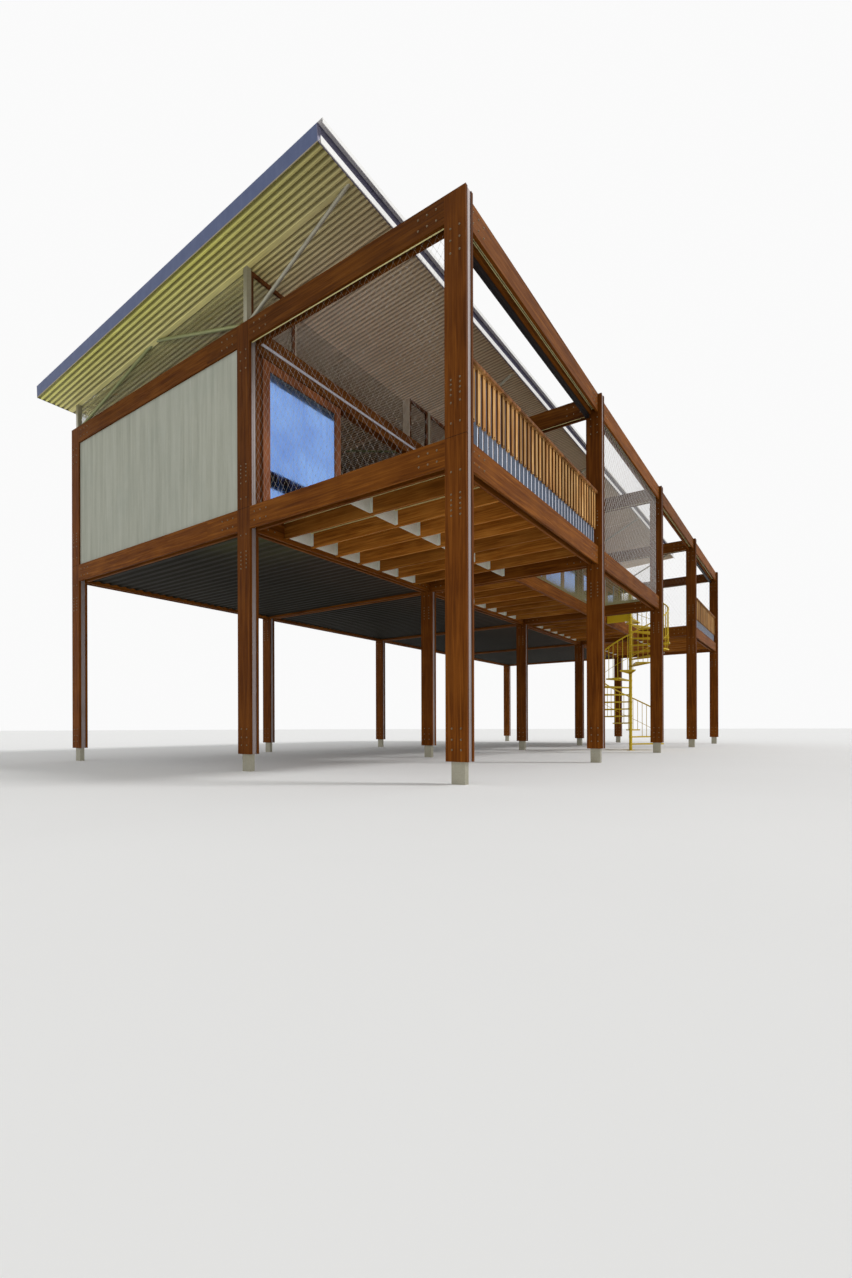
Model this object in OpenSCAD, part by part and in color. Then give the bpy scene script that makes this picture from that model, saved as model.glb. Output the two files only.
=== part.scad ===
// Long pavilion on stilts: sandwich posts and beams of timber boards round a
// steel core, a raised deck along the front, glazed rooms behind it and one
// sloping roof on steel columns and struts. Front is -Y, the ground is Z = 0.

/* [Frame] */
// Spacing of the post lines along the house
bay = 5400; // [4800:50:6000]
// Front post face to middle post face
deck_d = 4150; // [3700:50:4800]
// Middle post face to rear post face
house_d = 5900; // [4800:50:7000]
// Ground to the top of the floor beams
floor_h = 4400; // [3400:50:5000]
// Clear height between floor beams and top beams
clear_h = 2740; // [2500:20:3100]
// Depth of every main beam
beam_h = 360; // [330:10:420]
// Width of a post and of its boards
post_w = 320; // [300:10:380]
// Thickness of one timber board
board_t = 45; // [35:5:60]
// Thickness of the steel core between two boards
core_t = 90; // [60:5:110]
// How far the steel core sits back from the board edges
core_inset = 12; // [4:1:20]
// How far the core of the outer beams sits above their lower edge
core_rise = 80; // [60:5:110]
// Height of the bare steel stub under each post
stub_h = 290; // [200:10:400]
// Width of the steel stub
stub_w = 200; // [160:10:240]

/* [Deck] */
// Greatest spacing of the joists
joist_pitch = 660; // [500:10:900]
// Thickness of a joist
joist_t = 45; // [35:5:60]
// Depth of a joist
joist_h = 280; // [220:10:290]
// Thickness of the deck boards
deck_t = 28; // [20:1:36]
// Thickness of the steel blocking plates between joists
block_t = 8; // [4:1:12]
// Depth of the blocking plates
block_h = 250; // [180:10:270]
// Open strip between the front and the walkway, with the net and the stair
void_d = 1950; // [1700:50:2200]
// Thickness of the walkway's edge beam
edge_t = 90; // [60:5:120]

/* [Balustrade and mesh] */
// Height of the rail over the floor beams
rail_h = 1120; // [900:10:1200]
// Height of the mesh fence and of the stair's pole over the deck
fence_h = 1040; // [900:10:1200]
// Depth of the top rail
rail_t = 40; // [25:5:60]
// Width of the top rail
rail_w = 110; // [90:5:140]
// Spacing of the battens
batten_pitch = 145; // [120:5:180]
// Width of a batten
batten_w = 70; // [50:5:90]
// Thickness of a batten
batten_t = 30; // [20:2:40]
// Open strip between the floor beam and the foot of the battens
batten_lift = 350; // [100:10:400]
// Thickness of a steel fin behind a batten
fin_t = 8; // [6:1:12]
// Width of a steel fin
fin_w = 55; // [40:5:70]
// Diameter of the mesh panels' cables
cable_d = 8; // [6:1:12]
// Widest cell of a mesh panel
cell_w = 300; // [250:10:500]
// Tallest cell of a mesh panel
cell_h = 520; // [400:10:800]
// Side of a square fence post on the walkway
fence_t = 40; // [30:5:45]
// Sag of the hanging net
net_sag = 160; // [80:10:260]
// Thickness of the hanging net
net_t = 14; // [10:1:24]

/* [House] */
// Thickness of the house floor
floor_t = 60; // [40:5:90]
// Thickness of the end and rear wall panels
wall_t = 110; // [90:5:130]
// Sill height of the rear windows
sill_h = 1000; // [700:50:1400]
// Width of the window and door stiles
stile_w = 145; // [90:5:170]
// Thickness of the window and door frames
leaf_t = 45; // [35:5:50]
// Thickness of the glass
glass_t = 10; // [6:1:14]
// Height of the head board over the doors
head_h = 45; // [35:5:120]
// Width of one sliding door leaf
door_w = 1930; // [1700:10:2200]
// Step from one parked door leaf to the next
door_step = 80; // [60:10:160]
// Height of the door's floor rail
track_h = 14; // [10:1:20]
// Width of the door's floor rail
track_w = 12; // [8:1:16]
// Running gap between a door leaf and its floor rail
track_gap = 0.3; // [0.2:0.1:0.5]
// Free gap between door leaves and beside them
leaf_gap = 15; // [8:1:20]
// Free gap between the gable panes and the struts
pane_gap = 5; // [2:1:8]
// Width of the left framed pane above a middle beam
high_left_w = 1005; // [800:5:1200]
// Width of the right framed pane above a middle beam
high_right_w = 755; // [600:5:900]
// Width of the members round these panes
high_stile = 65; // [50:5:90]
// How far the wide pane between them sits back
high_set = 180; // [120:10:240]
// Thickness of the boards that line its opening
liner_t = 18; // [12:1:25]
// Depth of the blind track behind the front top beams, front to back
blind_w = 65; // [50:5:90]
// Height of the blind track
blind_h = 185; // [120:5:260]
// How far the blind track hangs under the beam
blind_drop = 75; // [50:5:110]
// Depth of the ribs of the sheet under the floor
pan_h = 30; // [20:2:40]
// Spacing of the ribs of the sheet under the floor
pan_pitch = 200; // [150:10:300]

/* [Roof] */
// Roof underside over the front post faces, above the frame's top
roof_clear = 1270; // [900:10:1600]
// Fall of the roof to the rear, in degrees
roof_fall = 4; // [2:0.5:5]
// Front roof edge behind the front post faces
eave_y = 1950; // [1000:50:2600]
// Rear roof edge past the rear posts
rear_over = 220; // [150:10:600]
// Roof edge past the end frames
side_over = 610; // [300:10:900]
// Depth of the roof's edge
roof_t = 265; // [200:5:320]
// Depth of the ribs of the roof and soffit sheets
rib_h = 20; // [14:1:30]
// Spacing of the ribs of the soffit sheets
rib_pitch = 84; // [76:4:160]
// Spacing of the ribs of the top sheet
tray_pitch = 190; // [150:10:300]
// Thickness of the roof and soffit sheets
sheet_t = 3; // [2:0.5:6]
// Width of a rafter inside the roof
rafter_t = 60; // [40:5:90]
// Thickness of the edge plates
plate_t = 6; // [4:1:10]
// Reach of the front channel's lower flange
lip_low = 60; // [40:5:90]
// Reach of the front channel's upper flange
lip_high = 110; // [80:5:140]
// Height of the turned lips of the front channel
lip_h = 32; // [20:2:45]
// Diameter of the roof struts
strut_d = 60; // [42:2:76]
// Place of the rear struts' meeting point, behind the middle post faces
apex_d = 2950; // [2000:50:3600]

/* [Spiral stair] */
// Outer radius of the treads
stair_r = 1140; // [1000:10:1150]
// Free gap between the front post faces and the treads
stair_clear = 90; // [60:10:100]
// Free gap between the treads and the post line beside them
stair_side = 70; // [60:10:160]
// Diameter of the centre pole
pole_d = 95; // [80:5:140]
// Number of risers from the ground to the deck
risers = 20; // [17:1:24]
// Turn of each tread, in degrees
tread_turn = 22.5; // [20:0.5:26]
// Height of the handrail over the middle of a tread
guard_h = 1020; // [900:10:1100]
// Thickness of a tread
tread_t = 40; // [25:5:60]
// Diameter of a baluster
baluster_d = 18; // [14:1:24]
// Diameter of the handrail
grip_d = 42; // [34:2:50]
// Fitting gap between the balusters and the handrail
grip_gap = 0.5; // [0.3:0.1:0.8]

/* [Hidden] */

// Frame
post_t = 2 * board_t + core_t;
half = 2 * bay + post_t / 2;
frame_top = floor_h + clear_h + beam_h;
beam_low = floor_h - beam_h;
top_low = floor_h + clear_h;
core_w = post_w - 2 * core_inset;
setback = (post_w - post_t) / 2;
// Roof plane
// The overall depth is a whole even number, so that the rows stand on whole numbers
back_y = 2 * round((deck_d + house_d + post_w + rear_over
    + roof_t * sin(roof_fall)) / 2);
roof_len = (back_y - eave_y - roof_t * sin(roof_fall)) / cos(roof_fall);
eave_z = frame_top + roof_clear - eave_y * tan(roof_fall);
skin = rib_h + sheet_t;
// The frame is centred on the origin in plan
front_y = -back_y / 2;
rows = [front_y, front_y + deck_d, front_y + deck_d + house_d];
lines = [for (i = [0:4]) (i - 2) * bay - post_t / 2];
clear_x = bay - post_t;
deck_top = floor_h;
joist_top = deck_top - deck_t;
// Door row
door_z = floor_h + track_h + track_gap;
door_h = top_low - head_h - leaf_gap - door_z;
door_y = rows[1] + setback + leaf_gap;
door_x = lines[0] + post_t + leaf_gap;
// Stair
stair_x = post_t / 2 + stair_side + stair_r;
stair_y = front_y + stair_clear + stair_r;
rise = deck_top / risers;
// Direction of the top tread's upper edge, seen from above
top_angle = 22;
// From the pole's centre to the walkway, and the landing's far corner on it
land_w = void_d - stair_clear - stair_r;
land_a = 36;
land_x = stair_r * cos(land_a);

function soffit_z(y) = eave_z - (y - front_y - eave_y) * tan(roof_fall);

module block(x0, x1, y0, y1, z0, z1)
    translate([x0, y0, z0]) cube([x1 - x0, y1 - y0, z1 - z0]);

// Draws in the roof's own plane: X across, Y down the fall from the front edge
module on_roof()
    translate([0, front_y + eave_y, eave_z]) rotate([-roof_fall, 0, 0]) children();

// Everything below the roof's underside
module under_roof()
    intersection() {
        children();
        on_roof() translate([-half - side_over, -eave_y, -4000])
            cube([2 * (half + side_over), roof_len + 2 * eave_y, 4000]);
    }

module tube_between(a, b, d) {
    v = b - a;
    l = norm(v);
    translate(a) rotate([0, acos(v[2] / l), atan2(v[1], v[0])])
        cylinder(h = l, d = d, $fn = 24);
}

// Two timber boards with the core's gap between them
module post_pair(x, y) {
    block(x, x + board_t, y, y + post_w, stub_h, frame_top);
    block(x + post_t - board_t, x + post_t, y, y + post_w, stub_h, frame_top);
}

// Pair of boards along X between two post lines
module beam_x(i, y, z) {
    x0 = lines[i] + post_t;
    block(x0, x0 + clear_x, y + setback, y + setback + board_t, z, z + beam_h);
    block(x0, x0 + clear_x, y + setback + post_t - board_t,
        y + setback + post_t, z, z + beam_h);
}

// Pair of boards along Y between two post rows
module beam_y(i, r, z)
    for (x = [lines[i], lines[i] + post_t - board_t])
        block(x, x + board_t, rows[r] + post_w, rows[r + 1], z, z + beam_h);

module core_x(i, y, z, low = core_rise)
    block(lines[i] + post_t, lines[i] + bay, y + setback + board_t,
        y + setback + board_t + core_t, z + low, z + beam_h - core_inset);

module core_y(i, r, z)
    block(lines[i] + board_t, lines[i] + board_t + core_t, rows[r] + post_w,
        rows[r + 1], z + core_rise, z + beam_h - core_inset);

module front_posts() color("sienna") for (x = lines) post_pair(x, rows[0]);
module middle_posts() color("sienna") for (x = lines) post_pair(x, rows[1]);
module rear_posts() color("sienna") for (x = lines) post_pair(x, rows[2]);

// Steel cores between the boards, and the bare stubs that carry the posts
module post_cores() color("silver") for (x = lines, y = rows)
    block(x + board_t, x + board_t + core_t, y + core_inset,
        y + core_inset + core_w, stub_h, frame_top);
module post_stubs() color("silver") for (x = lines, y = rows)
    block(x + board_t, x + board_t + core_t, y + (post_w - stub_w) / 2,
        y + (post_w + stub_w) / 2, 0, stub_h);

module front_floor_beams() color("peru")
    for (i = [0, 1, 3]) beam_x(i, rows[0], beam_low);
module middle_floor_beams() color("peru")
    for (i = [0:3]) beam_x(i, rows[1], beam_low);
module rear_floor_beams() color("peru")
    for (i = [0:3]) beam_x(i, rows[2], beam_low);
module cross_floor_beams() color("peru")
    for (i = [0:4], r = [0, 1]) beam_y(i, r, beam_low);
module floor_beam_cores() color("silver") {
    for (i = [0, 1, 3]) core_x(i, rows[0], beam_low);
    for (i = [0:3], r = [1, 2]) core_x(i, rows[r], beam_low);
    for (i = [0:4], r = [0, 1]) core_y(i, r, beam_low);
}
module front_top_beams() color("peru")
    for (i = [0:3]) beam_x(i, rows[0], top_low);
module middle_top_beams() color("peru")
    for (i = [0:3]) beam_x(i, rows[1], top_low);
module rear_top_beams() color("peru")
    for (i = [0:3]) beam_x(i, rows[2], top_low);
module cross_top_beams() color("peru")
    for (i = [0:4], r = [0, 1]) beam_y(i, r, top_low);
module top_beam_cores() color("silver") {
    for (i = [0:3], r = [0, 1, 2])
        core_x(i, rows[r], top_low, r == 0 ? core_rise : core_inset);
    for (i = [0:4], r = [0, 1]) core_y(i, r, top_low);
}

// Joist centres of one bay, evenly spaced under the greatest pitch
joist_n = ceil(clear_x / joist_pitch);
function joist_x(i, k) = lines[i] + post_t + k * clear_x / joist_n;
// Front end of the joists of each bay
function joist_y0(i) = (i == 0 || i == 3)
    ? rows[0] + setback + post_t : front_y + void_d + edge_t;
joist_y1 = rows[1] + setback;

module deck_joists() color("saddlebrown")
    for (i = [0:3], k = [1:joist_n - 1])
        block(joist_x(i, k) - joist_t / 2, joist_x(i, k) + joist_t / 2,
            joist_y0(i), joist_y1, joist_top - joist_h, joist_top);

// Steel plates between the joists: at mid-span of the end bays, and against the
// middle beam except beside the cross beams
module deck_blocking() color("lightgrey")
    for (i = [0:3], k = [0:joist_n - 1]) {
        x0 = joist_x(i, k) + (k == 0 ? 0 : joist_t / 2);
        x1 = joist_x(i, k + 1) - (k == joist_n - 1 ? 0 : joist_t / 2);
        if (k > 0 && k < joist_n - 1)
            block(x0, x1, joist_y1 - block_t, joist_y1,
                joist_top - block_h, joist_top);
        if (i == 0 || i == 3)
            block(x0, x1, (joist_y0(i) + joist_y1) / 2,
                (joist_y0(i) + joist_y1) / 2 + block_t,
                joist_top - block_h, joist_top);
    }

module deck_boards() color("burlywood") for (i = [0:3])
    block(lines[i] + post_t, lines[i] + bay, joist_y0(i), joist_y1,
        joist_top, deck_top);

module walkway_beam() color("peru") for (i = [1, 2])
    block(lines[i] + post_t, lines[i] + bay, front_y + void_d,
        front_y + void_d + edge_t, beam_low, deck_top);

// House floor between the beams, on the ribbed sheet's side walls below
module house_floor() color("tan") for (i = [0:3])
    block(lines[i] + post_t, lines[i] + bay, rows[1] + setback + post_t,
        rows[2] + setback, deck_top - floor_t, deck_top);

// Ribbed sheet: trapezoid waves along X, run out along Y
module ribbed(width, length, pitch, depth, thick) {
    n = floor(width / pitch);
    p = width / n;
    low = [for (k = [0:n - 1], q = [[0, 0], [0.25, 1], [0.5, 1], [0.75, 0]])
        [(k + q[0]) * p, q[1] * depth]];
    ends = concat(low, [[width, 0]]);
    top = [for (k = [len(ends) - 1:-1:0]) ends[k] + [0, thick]];
    rotate([90, 0, 0]) mirror([0, 0, 1])
        linear_extrude(length) polygon(concat(ends, top));
}
module underfloor_sheet() color("darkseagreen") for (i = [0:3])
    translate([lines[i] + post_t, rows[1] + setback + post_t, beam_low + 60])
        ribbed(clear_x, house_d - post_t, pan_pitch, pan_h, sheet_t);

// End walls between the middle and rear posts
module end_walls() color("lightgrey") for (x = [lines[0], lines[4]])
    block(x + (post_t - wall_t) / 2, x + (post_t + wall_t) / 2,
        rows[1] + post_w, rows[2], floor_h, top_low);

// Rear wall: full panels in the end bays, sill panels in the middle bays
wall_y = rows[2] + setback + (post_t - wall_t) / 2;
module rear_wall() color("lightgrey") for (i = [0:3])
    block(lines[i] + post_t, lines[i] + bay, wall_y, wall_y + wall_t, floor_h,
        (i == 0 || i == 3) ? top_low : floor_h + sill_h);

// Frame of one leaf with a rebate for its glass; origin at its lower corner
module leaf(w, h, t, s = stile_w) difference() {
    cube([w, t, h]);
    translate([s, -1, s]) cube([w - 2 * s, t + 2, h - 2 * s]);
}
module pane(w, h, t, s = stile_w)
    translate([s, (t - glass_t) / 2, s])
        cube([w - 2 * s, glass_t, h - 2 * s]);

// Glazed leaves: [x, y, z, width, height]
function bay_leaves(i, y, z, h, n) = [for (k = [0:n - 1])
    [lines[i] + post_t + k * clear_x / n, y, z, clear_x / n, h]];
fixed_y = rows[1] + setback + (post_t - leaf_t) / 2;
parked = [for (k = [0, 1]) [door_x + k * door_step,
    door_y + (2 - k) * (leaf_t + leaf_gap), floor_h, door_w,
    top_low - head_h - floor_h]];
leaves = concat(parked,
    [for (i = [1:3]) each bay_leaves(i, fixed_y, floor_h, clear_h, 3)],
    [for (i = [1, 2]) each bay_leaves(i,
        rows[2] + setback + (post_t - leaf_t) / 2,
        floor_h + sill_h, clear_h - sill_h, 3)]);
module window_frames() color("chocolate") for (l = leaves)
    translate([l[0], l[1], l[2]]) leaf(l[3], l[4], leaf_t);
module window_glass() color("lightblue") for (l = leaves)
    translate([l[0], l[1], l[2]]) pane(l[3], l[4], leaf_t);

// Head board over the doors and the rail that carries the sliding leaf
module door_head() color("chocolate")
    block(lines[0] + post_t, lines[0] + bay, rows[1] + setback,
        rows[1] + setback + post_t, top_low - head_h, top_low);
module door_track() color("silver")
    block(lines[0] + post_t, lines[0] + bay,
        door_y + (leaf_t - track_w) / 2, door_y + (leaf_t + track_w) / 2,
        floor_h, floor_h + track_h);
module door_leaf() color("chocolate")
    translate([door_x + 2 * door_step, door_y, door_z])
        leaf(door_w, door_h, leaf_t);
module door_glass() color("lightblue")
    translate([door_x + 2 * door_step, door_y, door_z])
        pane(door_w, door_h, leaf_t);

// Glazing above the middle top beams, up to the roof: a framed pane at each
// end and a wide bare pane between them, set back in a lined opening
cl_y = rows[1] + setback + (post_t - leaf_t) / 2;
cl_h = soffit_z(cl_y + leaf_t) - frame_top;
cl_x0 = board_t + core_t;
cl_x1 = bay + board_t;
wide_x0 = cl_x0 + high_left_w;
wide_x1 = cl_x1 - high_right_w;
wide_y = cl_y + high_set;
wide_h = soffit_z(wide_y + glass_t) - frame_top;
module high_leaves(i) for (q = [[cl_x0, high_left_w], [wide_x1, high_right_w]])
    translate([lines[i] + q[0], cl_y, frame_top])
        leaf(q[1], cl_h, leaf_t, high_stile);
module high_liner(i) translate([lines[i], cl_y, frame_top]) {
    for (x = [wide_x0, wide_x1 - liner_t])
        translate([x, 0, 0]) cube([liner_t, high_set + glass_t, wide_h]);
    translate([wide_x0, 0, 0])
        cube([wide_x1 - wide_x0, high_set + glass_t, liner_t]);
}
module high_panes(i) {
    for (q = [[cl_x0, high_left_w], [wide_x1, high_right_w]])
        translate([lines[i] + q[0], cl_y, frame_top])
            pane(q[1], cl_h, leaf_t, high_stile);
    block(lines[i] + wide_x0 + liner_t, lines[i] + wide_x1 - liner_t,
        wide_y, wide_y + glass_t, frame_top + liner_t, frame_top + wide_h);
}
module clerestory_frames() color("chocolate") for (i = [0:3]) {
    high_leaves(i);
    high_liner(i);
}
// Gable panes stand just inside the struts
pane_off = strut_d / 2 + pane_gap;
// Clear panes close the gable ends and the rear above the top beams
module clerestory_glass() color("lightblue") {
    for (i = [0:3]) high_panes(i);
    under_roof() for (i = [0:3])
        block(lines[i] + cl_x0, lines[i] + bay + board_t, rows[2] + post_w / 2,
            rows[2] + post_w / 2 + glass_t, frame_top, frame_top + 3000);
    under_roof() for (x = [lines[0] + post_t / 2 + pane_off,
            lines[4] + post_t / 2 - pane_off - glass_t])
        block(x, x + glass_t, rows[1] + (post_w + core_t) / 2,
            rows[2] + (post_w - core_t) / 2, frame_top, frame_top + 3000);
}

// Square columns on the middle and rear posts
module roof_columns() color("gainsboro") under_roof()
    for (x = lines, r = [1, 2])
        block(x + board_t, x + board_t + core_t, rows[r] + (post_w - core_t) / 2,
            rows[r] + (post_w + core_t) / 2, frame_top, frame_top + 3000);

// Round struts from the column feet to the roof
col_front = rows[1] + (post_w - core_t) / 2;
col_back = rows[1] + (post_w + core_t) / 2;
rear_front = rows[2] + (post_w - core_t) / 2;
apex_y = rows[1] + apex_d;
strut_z = frame_top + strut_d / 2;
module front_struts() color("gainsboro") under_roof() difference() {
    for (x = lines)
        tube_between([x + post_t / 2, col_front + strut_d, strut_z - strut_d / 3],
            [x + post_t / 2, front_y + eave_y + 60, soffit_z(front_y + eave_y) + 20],
            strut_d);
    block(-half, half, col_front, col_front + 500, floor_h, frame_top + 900);
    block(-half, half, front_y, rows[2], floor_h, frame_top);
}
module rear_struts() color("gainsboro") under_roof() difference() {
    for (x = lines, s = [-1, 1])
        tube_between([x + post_t / 2,
                s < 0 ? col_back - strut_d : rear_front + strut_d,
                strut_z - strut_d / 3],
            [x + post_t / 2, apex_y + s * strut_d * 0.75, soffit_z(apex_y) + 40],
            strut_d);
    block(-half, half, col_back - 500, col_back, floor_h, frame_top + 900);
    block(-half, half, rear_front, rear_front + 500, floor_h, frame_top + 900);
    block(-half, half, front_y, rows[2] + post_w, floor_h, frame_top);
}

// Rafters under the top sheet, with a soffit sheet between each pair
roof_x = half + side_over;
rafter_x = [for (x = lines) x + (post_t - rafter_t) / 2];
sheet_y1 = roof_len - plate_t;
module roof_rafters() color("dimgray") on_roof() for (x = rafter_x)
    block(x, x + rafter_t, 0, sheet_y1, 0, roof_t - skin);
module roof_soffit() color("gainsboro") on_roof() {
    from = concat([-roof_x + plate_t], [for (x = rafter_x) x + rafter_t]);
    to = concat(rafter_x, [roof_x - plate_t]);
    for (k = [0:5]) translate([from[k], 0, 0])
        ribbed(to[k] - from[k], sheet_y1, rib_pitch, rib_h, sheet_t);
}
module roof_sheet() color("lightsteelblue") on_roof()
    translate([-roof_x + plate_t, 0, roof_t - skin])
        ribbed(2 * (roof_x - plate_t), sheet_y1, tray_pitch, rib_h, sheet_t);
// Open channel along the front edge, with turned lips
module roof_front_channel() color("white") on_roof()
    translate([-roof_x, 0, 0]) rotate([90, 0, 90])
        linear_extrude(2 * roof_x) polygon([
            [0, 0], [-lip_low, 0], [-lip_low, lip_h], [-lip_low + plate_t, lip_h],
            [-lip_low + plate_t, plate_t], [-plate_t, plate_t],
            [-plate_t, roof_t - plate_t], [-lip_high + plate_t, roof_t - plate_t],
            [-lip_high + plate_t, roof_t - lip_h], [-lip_high, roof_t - lip_h],
            [-lip_high, roof_t], [0, roof_t]]);
module roof_side_plates() color("slategray") on_roof()
    for (x = [-roof_x, roof_x - plate_t])
        block(x, x + plate_t, 0, sheet_y1, 0, roof_t);
module roof_rear_plate() color("gainsboro") on_roof()
    block(-roof_x, roof_x, sheet_y1, roof_len, 0, roof_t);

// Comb of battens hung from a top rail, one panel a bay
batten_n = floor(clear_x / batten_pitch);
function batten_x(k) = (k + 0.5) * clear_x / batten_n;
rail_bays = [0, 3];
comb_y = rows[0] + setback + (post_t - batten_t) / 2 - fin_w / 2;
module balustrade_battens() color("peru") for (i = rail_bays)
    translate([lines[i] + post_t, 0, floor_h]) {
        translate([0, comb_y - (rail_w - batten_t) / 2, rail_h - rail_t])
            cube([clear_x, rail_w, rail_t]);
        for (k = [0:batten_n - 1])
            translate([batten_x(k) - batten_w / 2, comb_y, batten_lift])
                cube([batten_w, batten_t, rail_h - rail_t - batten_lift]);
    }
// Steel fins from a flat on the floor beam up the back of the battens
module balustrade_fins() color("slategray") for (i = rail_bays)
    translate([lines[i] + post_t, comb_y + batten_t, floor_h]) {
        cube([clear_x, fin_w, fin_t]);
        for (k = [0:batten_n - 1])
            translate([batten_x(k) - fin_t / 2, 0, 0])
                cube([fin_t, fin_w, rail_h - rail_t]);
    }
module blind_tracks() color("dimgray") for (i = rail_bays)
    block(lines[i] + post_t, lines[i] + bay, rows[0] + setback + post_t,
        rows[0] + setback + post_t + blind_w,
        top_low - blind_drop, top_low - blind_drop + blind_h);

// Flat mesh panel in the XZ plane: border cable and crossing diagonals
module mesh_panel(w, h) {
    nx = max(2, ceil(w / cell_w));
    nz = max(2, ceil(h / cell_h));
    dx = w / nx;
    dz = h / nz;
    a = atan2(dz, dx);
    reach = norm([w, h]) + 2 * (dx + dz);
    rotate([90, 0, 0]) linear_extrude(cable_d, center = true) {
        difference() {
            square([w, h]);
            translate([cable_d, cable_d])
                square([w - 2 * cable_d, h - 2 * cable_d]);
        }
        intersection() {
            square([w, h]);
            union() for (k = [-nz:nx - 1]) {
                translate([(k + 0.5) * dx, 0]) rotate(a)
                    translate([-cable_d, -cable_d / 2]) square([reach, cable_d]);
                translate([w - (k + 0.5) * dx, 0]) rotate(180 - a)
                    translate([-cable_d, -cable_d / 2]) square([reach, cable_d]);
            }
        }
    }
}
module mesh_along_y(x, y0, y1, z0, z1)
    translate([x, y0, z0]) rotate([0, 0, 90]) mesh_panel(y1 - y0, z1 - z0);
module mesh_along_x(x0, x1, y, z0, z1)
    translate([x0, y, z0]) mesh_panel(x1 - x0, z1 - z0);
// The side panels are laced to the steel cores, between the boards
module core_bay_mesh(x) mesh_along_y(x + post_t / 2,
    rows[0] + post_w - core_inset, rows[1] + core_inset,
    floor_h - core_inset, top_low + core_rise);
module end_mesh() color("silver") for (x = [lines[0], lines[4]]) core_bay_mesh(x);
module net_bay_mesh() color("silver")
    mesh_along_x(lines[1] + post_t, lines[2], rows[0] + post_w / 2,
        floor_h - core_inset, top_low + core_rise);
// The walkway's fence is open where the stair lands
fence_spans = [[lines[1] + post_t, lines[2]], [lines[2] + post_t, stair_x],
    [stair_x + land_x, lines[3]]];
module walkway_mesh() color("silver") for (q = fence_spans)
    mesh_along_x(q[0], q[1], front_y + void_d + edge_t / 2,
        deck_top, deck_top + fence_h);
// Square steel posts that hold the walkway fence
module fence_posts() color("silver")
    for (q = fence_spans, x = [q[0], q[1] - fence_t])
        block(x, x + fence_t, front_y + void_d + edge_t / 2 + cable_d / 2,
            front_y + void_d + edge_t / 2 + cable_d / 2 + fence_t,
            deck_top, deck_top + fence_h);
module stair_side_mesh() color("silver")
    core_bay_mesh(lines[3]);

// Net hung between the front beam, the cross beams and the walkway beam
net_x0 = lines[1] + post_t;
net_x1 = lines[2];
net_y0 = rows[0] + setback + post_t;
net_y1 = front_y + void_d;
net_z = deck_top - 60;
net_nx = 12;
net_ny = 6;
function net_point(a, b, s) =
    let (u = 2 * a / net_nx - 1, v = 2 * b / net_ny - 1)
    [net_x0 + (net_x1 - net_x0) * a / net_nx,
        net_y0 + (net_y1 - net_y0) * b / net_ny,
        net_z + s * net_t / 2 - net_sag * (1 - u * u) * (1 - v * v)];
module hanging_net() color("dimgray") {
    w = net_nx + 1;
    m = w * (net_ny + 1);
    rim = concat([for (a = [0:net_nx - 1]) a],
        [for (b = [0:net_ny - 1]) b * w + net_nx],
        [for (a = [net_nx:-1:1]) net_ny * w + a],
        [for (b = [net_ny:-1:1]) b * w]);
    polyhedron(
        points = [for (s = [1, -1], b = [0:net_ny], a = [0:net_nx])
            net_point(a, b, s)],
        faces = concat(
            [for (b = [0:net_ny - 1], a = [0:net_nx - 1], t = [0, 1])
                let (p = b * w + a)
                t == 0 ? [p, p + w, p + 1] : [p + 1, p + w, p + w + 1]],
            [for (b = [0:net_ny - 1], a = [0:net_nx - 1], t = [0, 1])
                let (p = m + b * w + a)
                t == 0 ? [p, p + 1, p + w] : [p + 1, p + w + 1, p + w]],
            [for (k = [0:len(rim) - 1], t = [0, 1])
                let (p = rim[k], q = rim[(k + 1) % len(rim)])
                t == 0 ? [p, q, m + p] : [q, m + q, m + p]]));
}

// Spiral stair: the top tread meets the landing, the others wind down from it
// The inner edge of a tread lies against the pole
root_r = pole_d / 2 / cos(tread_turn / 2);
function tread_a(k) = top_angle - (k + 1) * tread_turn;
function tread_top(k) = deck_top - (k + 1) * rise;
module stair_pole() color("gold") translate([stair_x, stair_y, 0])
    cylinder(h = deck_top + fence_h, d = pole_d, $fn = 32);
module stair_treads() color("gold") translate([stair_x, stair_y, 0])
    for (k = [0:risers - 2])
        translate([0, 0, tread_top(k) - tread_t]) rotate(tread_a(k))
            linear_extrude(tread_t) polygon([
                for (a = [0, tread_turn / 2, tread_turn])
                    [stair_r * cos(a), stair_r * sin(a)],
                for (a = [tread_turn, 0]) [root_r * cos(a), root_r * sin(a)]]);

// Three balusters stand on each tread, and up to two go on along the landing
grip_r = stair_r - grip_d;
grip_sides = 8;
baluster_turn = tread_turn / 3;
land_n = max(0, min(2, floor(
    (asin(min(1, land_w / grip_r)) - top_angle) / baluster_turn - 0.25)));
guard_n = 3 * (risers - 1) + land_n;
function guard_a(n) = top_angle - (risers - 1) * tread_turn
    + (n + 0.5) * baluster_turn;
function guard_z(n) = tread_top(risers - 2) + guard_h + (n - 1) * rise / 3;
function guard_foot(n) = n < 3 * (risers - 1)
    ? tread_top(risers - 2 - floor(n / 3)) : deck_top;
// Half the height of the handrail's eight-sided section, between its flats
grip_h = grip_d / 2 * cos(180 / grip_sides);
// Balusters are cut on the slope, just under the handrail's lower flat
grip_slope = atan(rise / 3 / (2 * grip_r * sin(baluster_turn / 2)));
module stair_balusters() color("gold") translate([stair_x, stair_y, 0])
    for (n = [0:guard_n - 1]) rotate(guard_a(n))
        translate([grip_r, 0, guard_foot(n)]) difference() {
            cylinder(h = guard_z(n) - guard_foot(n), d = baluster_d, $fn = 12);
            translate([0, 0, guard_z(n) - guard_foot(n) - grip_h - grip_gap])
                rotate([grip_slope, 0, 0]) translate([-grip_d, -grip_d, 0])
                    cube([2 * grip_d, 2 * grip_d, 2 * grip_d]);
        }
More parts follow.
